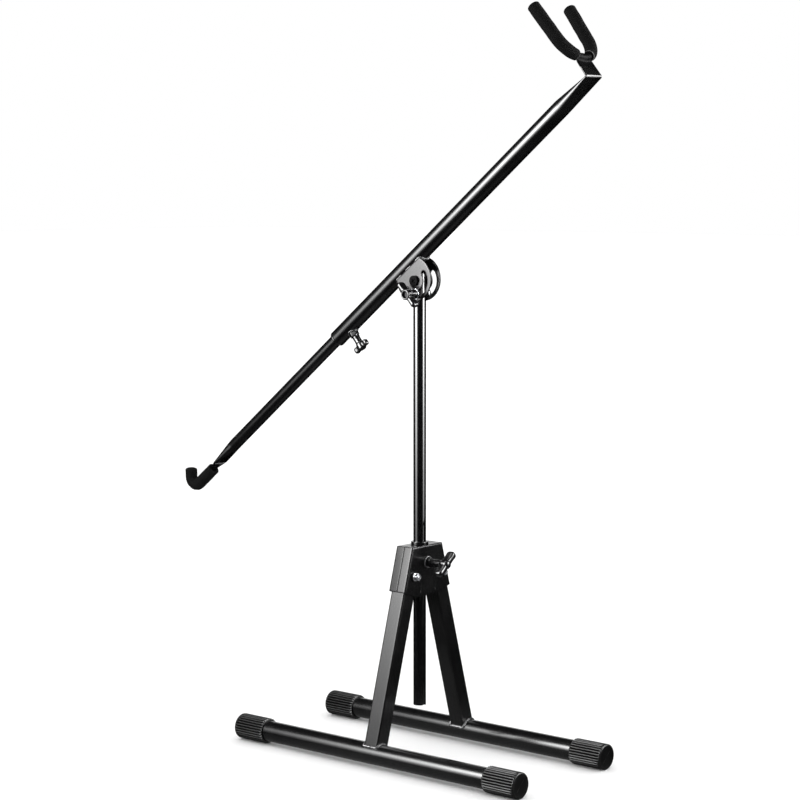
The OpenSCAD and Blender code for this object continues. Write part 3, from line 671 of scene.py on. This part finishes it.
def foot_caps(name, node, body, seed):
    """Both ribbed caps of one foot bar."""
    low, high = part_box(node)
    y, z = (low.y + high.y) / 2, high.z - CAP_R * MM
    angles = full_turn(CAP_RIBS * 12)
    parts = []
    for end, face in ((-1, low.x), (1, high.x)):
        parts.append(loft([x_ring(face - end * s * MM, y, z, (r - ribbed * rib_depth(angles, s)) * MM, angles)
                           for s, r, ribbed in cap_profile(seed + end * 3.0)]))
    add(name, *joined(*parts), RUBBER, body, "rubber", sharp=60, replaced=(node,))


for side, place in ((-1, "near"), (1, "far")):
    foot_bar(f"{place}_foot_bar_tube", f"{place}_foot_bar", f"{place}_leg_body")
    foot_caps(f"{place}_foot_cap_pair", f"{place}_foot_caps", f"{place}_leg_body", 5.0 * side)

# ---------------------------------------------------------------- foam


FOAM_SIDES = 72


def foam_skin(line, at, profile, seed, creases):
    """Uneven thickness of a sleeve, less where it creases."""
    slow_scale, quick_scale, crease_long, most = 0.09, 0.9, 1.1, 0.15

    def wobble(i, angles):
        """Change of radius in metres round the sleeve at point i."""
        x, y, z = line[i] / MM
        out = []
        for a in angles:
            q = Vector((x + 7 * math.cos(a), y + 7 * math.sin(a), z + seed))
            uneven = noise.noise(q * slow_scale) * 0.35 + noise.noise(q * quick_scale) * 0.12
            crease = sum(depth * math.exp(-((at[i] - where) / crease_long) ** 2)
                         * max(0.0, math.cos(a - turn)) ** 3 for where, depth, turn in creases)
            out.append((min(most, uneven) - crease) * profile[i])
        return np.array(out) * MM

    return wobble


def foam_sleeve(name, path, across, radius, node, body, seed, creases=(), pinch=0.0, rim=None):
    """Foam tube along a path in metres, open at its first end and closed by a soft dome at its last.

    creases are (distance along the sleeve, depth, direction round it), pinch thins the open end, and rim
    is the material of its cut edge; a paler one there is a painted highlight.
    """
    dome, dome_power, pinch_long = 4.6, 2.4, 9.0
    path = np.asarray(path, float)
    lengths = np.linalg.norm(np.diff(path, axis=0), axis=1)
    reach = np.concatenate([[0], np.cumsum(lengths)]) / MM
    total = reach[-1]
    at = np.concatenate([[0, 0.25, 0.6, 1.0], np.arange(1.5, total - 5, 0.7),
                         np.linspace(total - 5, total - 0.02, 14)])
    line = np.stack([np.interp(at, reach, path[:, k]) for k in range(3)], 1)
    into_dome = np.clip((at - total + dome) / dome, 0, 1)
    profile = np.sqrt(np.clip(1 - into_dome**dome_power, 0.0004, 1))
    profile *= 1 - 0.07 * np.clip(1 - at, 0, 1) ** 2
    profile *= 1 - pinch * np.exp(-at / pinch_long)
    verts, faces = sweep(line, radius * profile * MM, across, FOAM_SIDES,
                         wobble=foam_skin(line, at, profile, seed, creases))
    verts = [*verts, path[-1]]
    faces = [face for face in faces if len(face) == 4]
    tip, last = len(verts) - 1, (len(line) - 1) * FOAM_SIDES
    faces += [(last + j, last + (j + 1) % FOAM_SIDES, tip) for j in range(FOAM_SIDES)]
    tangent = (line[3] - line[0]) / np.linalg.norm(line[3] - line[0])
    side = np.asarray(across, float)
    other = np.cross(tangent, side)
    first = 0
    # The cut edge, from the skin in to the bore round the rod
    edge = (radius * profile[0] - 0.8, -0.05), (ROD_R + 1.0, 0.1), (ROD_R + 0.25, 0.8), (ROD_R + 0.2, 6.0)
    for r, depth in edge:
        ring = len(verts)
        for a in full_turn(FOAM_SIDES):
            rough = 1 + 0.02 * noise.noise(Vector((math.cos(a) * 3, math.sin(a) * 3, seed + depth)))
            out = side * math.cos(a) + other * math.sin(a)
            verts.append(line[0] + (tangent * depth + out * r * rough) * MM)
        faces += [(first + j, first + (j + 1) % FOAM_SIDES, ring + (j + 1) % FOAM_SIDES, ring + j)
                  for j in range(FOAM_SIDES)]
        first = ring
    piece = add(name, verts, faces, FOAM, body, "foam", sharp=70, replaced=(node,))
    piece.data.materials.append(rim or FOAM)
    # The first millimetre of skin at the open end takes the rim material, a painted highlight where it is pale.
    for face in piece.data.polygons:
        if max(face.vertices) < 4 * FOAM_SIDES:
            face.material_index = 1


FOAM_R = 9.2
for side, place in ((-1, "near"), (1, "far")):
    bend = arc((0, YOKE_Z + YOKE_R), YOKE_R, SLEEVE_START - 90, -YOKE_LEAN, 40)
    lean = math.radians(YOKE_LEAN)
    end = bend[-1]
    bend += [(end[0] + math.sin(lean) * d, end[1] + math.cos(lean) * d) for d in np.linspace(1, YOKE_ARM, 50)]
    path = [boom_point(YOKE_X, side * y, z) for y, z in bend]
    foam_sleeve(f"{place}_yoke_foam", path, ALONG, FOAM_R, f"{place}_yoke_sleeve", "boom", 11.0 * side + 30,
                pinch=0.14, rim=FOAM_RIM_HIGHLIGHT)

HOOK_MOUTH = span("hook_sleeve", ALONG)[1]
# The hook's straight length, bend radius, turn in degrees, and the straight length of its tip
HOOK_STRAIGHT, HOOK_R, HOOK_TURN, HOOK_TIP = 42.0, 12.0, 129.0, 15.0
bend_x = HOOK_MOUTH - HOOK_STRAIGHT
straight = [(x, HOOK_Z) for x in np.linspace(HOOK_MOUTH, bend_x + 0.8, 36)]
bend = arc((bend_x, HOOK_Z + HOOK_R), HOOK_R, -90, -90 - HOOK_TURN, 36)
end_x, end_z = bend[-1]
tip_angle = math.radians(-90 - HOOK_TURN)
tip = [(end_x + math.sin(tip_angle) * d, end_z - math.cos(tip_angle) * d)
       for d in np.linspace(0.7, HOOK_TIP, 16)]
path = [boom_point(x, 0, z) for x, z in straight + bend + tip]
bend_long = math.radians(HOOK_TURN) * HOOK_R
creases = [(HOOK_STRAIGHT + share * bend_long, depth, math.pi / 2)
           for share, depth in ((0.28, 0.7), (0.55, 1.0), (0.8, 0.6))]
foam_sleeve("hook_foam", path, ACROSS, HOOK_FOAM_R, "hook_sleeve", "inner", 50, creases=creases)

# ---------------------------------------------------------------- knobs


def lathe(profile):
    """Solid of revolution about z from (r, z) pairs."""
    angles = full_turn(64)
    rings = [np.stack([r * np.cos(angles), r * np.sin(angles), np.full(64, z)], 1) for r, z in profile]
    return loft(rings)


def squared(value):
    """A cosine or sine bent towards a square, for a section with rounded corners."""
    return math.copysign(abs(value) ** 0.6, value)


def wing(start, reach, z_low, z_high, thick, sign):
    """One arm of a wing knob, waisted near the hub and rounded off at its end."""
    waist_depth, waist_at, waist_long, end_long = 0.12, 0.42, 0.28, 0.28
    rings = []
    for t in np.linspace(0, 1, 24):
        x = start + (reach - start) * t
        waist = 1 - waist_depth * math.exp(-((t - waist_at) / waist_long) ** 2)
        end = math.sqrt(max(0.02, 1 - max(0.0, (t - 1 + end_long) / end_long) ** 2))
        half_t = thick / 2 * waist * (0.35 + 0.65 * end)
        half_h = (z_high - z_low) / 2 * (0.92 + 0.1 * t) * (0.3 + 0.7 * end)
        middle = (z_high + z_low) / 2 + 0.4 * t
        rings.append([(sign * x, half_t * squared(math.cos(a)), middle + half_h * squared(math.sin(a)))
                      for a in full_turn(40)])
    return loft(rings)


def moulded(name, hub, arms, place, node, body):
    """A knob's hub and arms in mm in its own frame, fused and softened like a moulding, then put in place."""
    verts, faces = joined(lathe(hub), *arms)
    mesh = bpy.data.meshes.new(name + "_work")
    mesh.from_pydata([tuple(map(float, v)) for v in verts], [], faces)
    work = bmesh.new()
    work.from_mesh(mesh)
    bmesh.ops.recalc_face_normals(work, faces=work.faces)
    work.to_mesh(mesh)
    work.free()
    rough = bpy.data.objects.new(name + "_work", mesh)
    scene.collection.objects.link(rough)
    remesh = rough.modifiers.new("fuse", "REMESH")
    remesh.mode = "VOXEL"
    remesh.voxel_size = 0.42
    smooth = rough.modifiers.new("soften", "SMOOTH")
    smooth.factor = 0.5
    smooth.iterations = 5
    done = rough.evaluated_get(bpy.context.evaluated_depsgraph_get()).to_mesh()
    points = np.array([v.co for v in done.vertices], float)
    polys = [tuple(p.vertices) for p in done.polygons]
    bpy.data.objects.remove(rough)
    matrix = np.array(place, float)
    world = points @ matrix[:3, :3].T * MM + matrix[:3, 3]
    add(name, world, polys, PLASTIC, body, "plastic", sharp=70, replaced=(node,))


def frame_at(origin, axis, wing_way):
    """Matrix whose z is the knob's axis and whose x is the way its wings lie."""
    z = Vector(axis).normalized()
    x = (Vector(wing_way) - z * Vector(wing_way).dot(z)).normalized()
    y = z.cross(x)
    matrix = Matrix((x, y, z)).transposed().to_4x4()
    matrix.translation = Vector(origin)
    return matrix


def middle_z(node):
    """Height of a node's middle, in metres."""
    low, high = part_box(node)
    return (low.z + high.z) / 2


# K0 and K1 are each knob's near and far end along its own axis
low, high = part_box("mast_knob")
K0, K1 = low.x / MM, high.x / MM
MAST_SCREW_Z = middle_z("mast_screw")
turn = math.radians(-49)
hub = [(4.2, K0 + 3), (4.2, K0), (5.4, K0), (5.9, K0 + 0.6), (5.7, K0 + 6), (5.9, K1 - 15), (7.0, K1 - 12),
       (7.1, K1 - 5), (6.3, K1 - 2.6), (4.6, K1 - 0.9), (2.2, K1 - 0.1), (0.2, K1)]
arms = [wing(2, 23.25, K1 - 15.4, K1 - 1.4, 11.6, sign) for sign in (-1, 1)]
moulded("mast_wing_knob", hub, arms,
        frame_at((0, 0, MAST_SCREW_Z), (1, 0, 0), (0, math.sin(turn), -math.cos(turn))), "mast_knob",
        "mast_knob_body")

low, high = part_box("tilt_knob")
K0, K1 = -high.y / MM, -low.y / MM
turn = math.radians(-46.6)
hub = [(5.7, K0 + 3), (5.7, K0), (7.1, K0), (7.6, K0 + 0.6), (7.0, K0 + 7), (7.0, K1 - 11), (7.8, K1 - 9),
       (7.8, K1 - 1.2), (7.0, K1), (5.4, K1), (5.0, K1 - 0.5), (4.8, K1 - 6.2), (0.2, K1 - 6.4)]
arms = [wing(5.2, 23.25, K1 - 15.5, K1 - 0.8, 8.4, sign) for sign in (-1, 1)]
moulded("tilt_wing_knob", hub, arms,
        frame_at((0, 0, middle_z("tilt_clamp_bolt")), (0, -1, 0), (math.cos(turn), 0, math.sin(turn))),
        "tilt_knob", "tilt_knob_body")

K0, K1 = (OFFSET - reach for reach in reversed(span("boom_knob", AWAY)))
KNOB_X = sum(span("boom_knob", ALONG)) / 2
hub = [(4.2, K0 + 3), (4.2, K0), (5.6, K0), (6.0, K0 + 0.5), (5.5, K0 + 5), (5.7, K0 + 11), (6.6, K1 - 9.5),
       (6.7, K1 - 1.5), (5.9, K1 - 0.3), (3.4, K1 - 0.1), (2.8, K1 - 0.8), (0.2, K1 - 0.9)]
arms = [wing(2, 14.5, K1 - 10.3, K1 - 0.4, 8.6, sign) for sign in (-1, 1)]
moulded("boom_wing_knob", hub, arms, frame_at(boom_point(KNOB_X, 0, 0), -AWAY, ALONG), "boom_knob",
        "boom_knob_body")

# ---------------------------------------------------------------- welds

BAR_R = 15.875
LEG_HALF = 12.7


def square_path(half, corner):
    """Closed rounded square as (x, y) pairs."""
    per_side, per_corner = 14, 6
    corners = [(x * (half - corner), y * (half - corner)) for x, y in ((1, 1), (-1, 1), (-1, -1), (1, -1))]
    path = []
    for quarter, (x, y) in enumerate(corners):
        turned = (quarter + 1) * 90
        for a in np.radians(np.linspace(turned - 90, turned, per_corner, endpoint=False)):
            path.append((x + corner * math.cos(a), y + corner * math.sin(a)))
        last_x, last_y = path[-1]
        next_x, next_y = corners[(quarter + 1) % 4]
        goal_x = next_x + corner * math.cos(math.radians(turned))
        goal_y = next_y + corner * math.sin(math.radians(turned))
        for t in np.linspace(0, 1, per_side, endpoint=False)[1:]:
            path.append((last_x + (goal_x - last_x) * t, last_y + (goal_y - last_y) * t))
    return path


for side, place in ((-1, "near"), (1, "far")):
    around = [leg_point(side, x, y, math.sqrt(max(0, (BAR_R + 0.4) ** 2 - y * y)))
              for x, y in square_path(LEG_HALF + 0.7, 3.0)]
    weld(f"{place}_leg_weld", around, 2.5, f"{place}_leg_body", (0.3, 0.2, 1), closed=True, pitch=3.2)

# The bracket's saddle is held by three short beads along each edge and one round each end
SADDLE_END, SADDLE_TURN, SADDLE_EDGE_Z = 30.2, 48, -8.4
saddle_edge_y = math.sqrt(BOOM_R**2 - SADDLE_EDGE_Z**2) + 0.9
for side, place in ((-1, "near"), (1, "far")):
    for k, (first, last) in enumerate(((-29, -16), (-6, 7), (17, 29))):
        line = [boom_point(x, side * saddle_edge_y, SADDLE_EDGE_Z + 0.4) for x in np.linspace(first, last, 8)]
        weld(f"bracket_{place}_weld_{k + 1}", line, 1.5, "boom", AWAY)
for end, place in ((-1, "low"), (1, "high")):
    line = [boom_point(end * SADDLE_END, y, z)
            for y, z in arc((0, 0), BOOM_R + 0.7, -90 - SADDLE_TURN, -90 + SADDLE_TURN, 30)]
    weld(f"bracket_end_weld_{place}", line, 1.5, "boom", ALONG)

NUT_BEAD_R = 8.0
face_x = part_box("mast_weld_nut")[0].x + 0.5 * MM
around = [(face_x, NUT_BEAD_R * MM * math.cos(a), MAST_SCREW_Z + NUT_BEAD_R * MM * math.sin(a))
          for a in full_turn(48)]
weld("mast_nut_weld", around, 1.25, "base", (1, 0, 0), closed=True)

BOOM_NUT_BEAD_R = 7.9
around = []
for a in full_turn(48):
    y = BOOM_NUT_BEAD_R * math.sin(a)
    around.append(boom_point(KNOB_X + BOOM_NUT_BEAD_R * math.cos(a), y, -math.sqrt(BOOM_R**2 - y * y) - 0.2))
weld("boom_nut_weld", around, 1.2, "boom", AWAY, closed=True)

for place, shift in (("top", 1.5), ("under", -1.5)):
    line = [boom_point(INNER_LOW - 0.5, y, HOOK_Z + shift) for y in np.linspace(-12.3, 12.3, 20)]
    weld(f"hook_plate_weld_{place}", line, 1.1, "inner", AWAY)

# ---------------------------------------------------------------- threads


def thread(name, origin, axis, radius, length, pitch, material, slot, body):
    """Helical ridge round a screw's exposed end, fading at both of its own ends."""
    per_turn, fade_points, crest = 28, 10, 0.42
    way = Vector(axis).normalized()
    side = way.orthogonal().normalized()
    other = way.cross(side)
    turns = length / pitch
    count = int(turns * per_turn)
    path, up = [], []
    for i in range(count):
        share = i / (count - 1)
        a = 2 * math.pi * turns * share
        out = side * math.cos(a) + other * math.sin(a)
        path.append(Vector(origin) + way * (length * share * MM) + out * radius * MM)
        up.append(out)
    ends = np.minimum(np.arange(count), np.arange(count)[::-1]) / fade_points
    radii = pitch * crest * MM * np.clip(ends, 0.1, 1)
    add(name, *sweep(path, radii, np.array(up), 6), material, body, slot, sharp=70)


THREAD_START = 0.3 * MM
nut_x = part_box("leg_pivot_nuts")[1].x
bolt_y = abs(JOINTS["near_leg_fold"]["pos_m"][1])
for side, place in ((-1, "near"), (1, "far")):
    thread(f"{place}_pivot_thread", (nut_x - THREAD_START, side * bolt_y, middle_z("leg_pivot_bolts")),
           (1, 0, 0), 2.75, 2.0, 1.0, ZINC, "zinc", "base")
nut_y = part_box("tilt_pivot_nut")[1].y
thread("tilt_pivot_thread", (0, nut_y - THREAD_START, PIVOT[2]), (0, 1, 0), 3.7, 2.1, 1.25, OXIDE,
       "black_oxide", "mast")

# ---------------------------------------------------------------- the remaining CAD solids

# Width in mm of each node's edge rounding
EDGES = {
    "front_shell": 0.6, "rear_shell": 0.6, "near_leg": 0.35, "far_leg": 0.35, "tilt_bracket": 0.45,
    "mast_weld_nut": 0.5, "boom_weld_nut": 0.5, "leg_pivot_nuts": 0.4, "leg_pivot_bolts": 0.4,
    "leg_pivot_spacers": 0.5, "leg_pivot_sleeves": 0.2, "tilt_pivot_bolt": 0.45, "tilt_pivot_nut": 0.5,
    "tilt_clamp_bolt": 0.45, "tilt_washers": 0.3, "top_bushing": 0.7, "bottom_bushing": 0.6,
    "boom_bushing": 0.5, "mast_top_plug": 0.7, "hook_rod": 0.4, "guide_tube": 0.2, "inner_glide": 0.2,
    "mast_screw": 0.3, "boom_screw": 0.3, "tilt_insert": 0.3,
}
# The yoke rod and the bracket's pivot bolt take the darker matte copy, as painted shade.
FINISHES = {"front_shell": SHEET, "rear_shell": REAR_SHEET, "near_leg": SHEET, "far_leg": SHEET,
            "tilt_bracket": SHEET, "yoke_rod": MATTE_SHADE, "tilt_pivot_bolt": MATTE_SHADE}
SHARP_ANGLE = math.radians(32)
for entry in frame["record"]["subparts"]:
    node = frame["nodes"][entry["node"]]
    if node.hide_render:
        continue
    for slot in node.material_slots:
        slot.material = FINISHES.get(entry["node"], SLOTS[entry["material_slot"]])
    node.data.polygons.foreach_set("use_smooth", [True] * len(node.data.polygons))
    merge = node.modifiers.new("merge", "WELD")
    merge.merge_threshold = 1e-6
    width = EDGES.get(entry["node"])
    if width:
        edge = node.modifiers.new("edges", "BEVEL")
        edge.width = width * MM
        edge.segments = 2
        edge.limit_method = "ANGLE"
        edge.angle_limit = SHARP_ANGLE
        edge.use_clamp_overlap = True
    shade = node.modifiers.new("shade", "WEIGHTED_NORMAL")
    shade.keep_sharp = False
    shade.weight = 60

# ---------------------------------------------------------------- floor, light and camera


def maths(tree, operation, *values):
    """Math or vector math node; a value is a socket to link from, or a number or vector to hold."""
    kind = "ShaderNodeMath" if operation in ("MULTIPLY", "EXPONENT") else "ShaderNodeVectorMath"
    node = tree.nodes.new(kind)
    node.operation = operation
    for socket, value in zip(node.inputs, values):
        if isinstance(value, bpy.types.NodeSocket):
            tree.links.new(value, socket)
        else:
            socket.default_value = value
    return node


def smoothstep(tree, source, from_range, to_range):
    """A soft step of the source from one range to another."""
    node = tree.nodes.new("ShaderNodeMapRange")
    node.interpolation_type = "SMOOTHSTEP"
    node.inputs["From Min"].default_value, node.inputs["From Max"].default_value = from_range
    node.inputs["To Min"].default_value, node.inputs["To Max"].default_value = to_range
    tree.links.new(source, node.inputs["Value"])
    return node.outputs["Result"]


def softbox(name, place, aim, size, spread_m, radiance):
    """Rectangular light for gloss only, brightest in its middle and fading over spread_m (across, up)."""
    data = bpy.data.lights.new(name, "AREA")
    data.shape = "RECTANGLE"
    data.size, data.size_y = size
    data.energy = radiance * math.pi * size[0] * size[1]
    data.use_nodes = True
    tree = data.node_tree
    across, up = (size[k] / (spread_m[k] * math.sqrt(2)) for k in (0, 1))
    geometry = tree.nodes.new("ShaderNodeNewGeometry")
    centred = maths(tree, "MULTIPLY_ADD", geometry.outputs["Parametric"], (across, up, 0),
                    (-across / 2, -up / 2, 0)).outputs["Vector"]
    square = maths(tree, "DOT_PRODUCT", centred, centred).outputs["Value"]
    fade = maths(tree, "MULTIPLY", square, -1.0).outputs["Value"]
    glow = maths(tree, "EXPONENT", fade).outputs["Value"]
    tree.links.new(glow, tree.nodes["Emission"].inputs["Strength"])
    light = bpy.data.objects.new(name, data)
    light.location = place
    light.rotation_mode = "QUATERNION"
    light.rotation_quaternion = (Vector(aim) - Vector(place)).to_track_quat("-Z", "Y")
    light.visible_camera = False
    light.visible_diffuse = False
    scene.collection.objects.link(light)


# The left box gives the sheet its sheen and the tubes their left streak, the right box their right streak.
# The high box and the top box put glints on what faces along the bars and upwards.
softbox("left_box", (-0.560, -1.173, 1.0), (0, 0, 1.0), (1.5, 1.9), (0.27, 0.35), 31.0)
softbox("right_box", (1.15, 0.57, 1.0), (0, 0, 1.0), (0.9, 1.9), (0.20, 0.35), 30.0)
softbox("high_box", (1.35, 1.90, 1.45), (0.3, 0, 1.0), (0.9, 0.9), (0.3, 0.3), 14.0)
softbox("top_box", (-0.5, -0.6, 2.4), (0, 0, 0.5), (1.2, 1.2), (0.5, 0.5), 3.0)


def make_floor():
    """Pale floor. Gloss on the stand mirrors only a pool of light under it, and the dark studio beyond."""
    half, gap, pool_range, pool_light = 30.0, 0.0002, (0.12, 0.45), (0.2, 0.0)
    mesh = bpy.data.meshes.new("floor")
    corners = [(-half, -half, 0), (half, -half, 0), (half, half, 0), (-half, half, 0)]
    mesh.from_pydata(corners, [], [(0, 1, 2, 3)])
    floor = bpy.data.objects.new("floor", mesh)
    floor.location.z = cad_box[0].z - gap
    material, tree, shader = new_material("floor_pale")
    shader.inputs["Roughness"].default_value = 0.8
    shader.inputs["Specular IOR Level"].default_value = 0.1
    grain = noise_node(tree, 3.0, 3.0, 0.5)
    tone = ramp(tree, grain.outputs["Fac"], NOISE_LOW, NOISE_HIGH, (0.94, 0.94, 0.94), (0.97, 0.97, 0.97))
    tree.links.new(tone.outputs["Color"], shader.inputs["Base Color"])
    distance = maths(tree, "LENGTH", tree.nodes["Coords"].outputs["Object"])
    mirrored = tree.nodes.new("ShaderNodeEmission")
    pool = smoothstep(tree, distance.outputs["Value"], pool_range, pool_light)
    tree.links.new(pool, mirrored.inputs["Strength"])
    rays = tree.nodes.new("ShaderNodeLightPath")
    choice = tree.nodes.new("ShaderNodeMixShader")
    tree.links.new(rays.outputs["Is Glossy Ray"], choice.inputs["Fac"])
    tree.links.new(shader.outputs["BSDF"], choice.inputs[1])
    tree.links.new(mirrored.outputs["Emission"], choice.inputs[2])
    tree.links.new(choice.outputs["Shader"], tree.nodes["Material Output"].inputs["Surface"])
    mesh.materials.append(material)
    scene.collection.objects.link(floor)


def either(tree, factor, low, high):
    """low where the factor is 0 and high where it is 1; each is a socket or a number."""
    mix = tree.nodes.new("ShaderNodeMix")
    mix.data_type = "FLOAT"
    tree.links.new(factor, mix.inputs["Factor"])
    for name, value in (("A", low), ("B", high)):
        if isinstance(value, bpy.types.NodeSocket):
            tree.links.new(value, mix.inputs[name])
        else:
            mix.inputs[name].default_value = value
    return mix.outputs["Result"]


def light_world():
    """White studio for the eye and for matt surfaces.

    Gloss sees the white backdrop only low behind the stand, and the dark studio elsewhere.
    """
    room, eye, dark, bright = 1.3, 1.0, 0.012, 1.1
    backdrop_way, backdrop_edge = Vector((-0.633, 0.754, 0.174)), (14, 6)
    world = bpy.data.worlds.new("studio")
    scene.world = world
    world.use_nodes = True
    tree = world.node_tree
    way = tree.nodes.new("ShaderNodeTexCoord")
    facing = maths(tree, "DOT_PRODUCT", way.outputs["Generated"], backdrop_way.normalized())
    edge = [math.cos(math.radians(angle)) for angle in backdrop_edge]
    backdrop = smoothstep(tree, facing.outputs["Value"], edge, (dark, bright))
    rays = tree.nodes.new("ShaderNodeLightPath")
    unseen = either(tree, rays.outputs["Is Glossy Ray"], room, backdrop)
    background = tree.nodes["Background"]
    tree.links.new(either(tree, rays.outputs["Is Camera Ray"], unseen, eye), background.inputs["Strength"])
    background.inputs["Color"].default_value = (1, 1, 1, 1)


def place_camera():
    """Camera solved from the stand's own straight lines, looking a little down at it."""
    camera = bpy.data.objects.new("camera", bpy.data.cameras.new("camera"))
    scene.collection.objects.link(camera)
    camera.data.sensor_width = 36
    camera.data.lens = 99.63
    camera.data.shift_x = -0.0246
    camera.data.shift_y = 0.054
    camera.location = (2.12064, -2.50798, 0.85610)
    camera.rotation_mode = "QUATERNION"
    camera.rotation_quaternion = Vector((-0.64135, 0.75849, -0.11561)).to_track_quat("-Z", "Y")
    scene.camera = camera


make_floor()
light_world()
place_camera()
scene.view_settings.view_transform = "Standard"
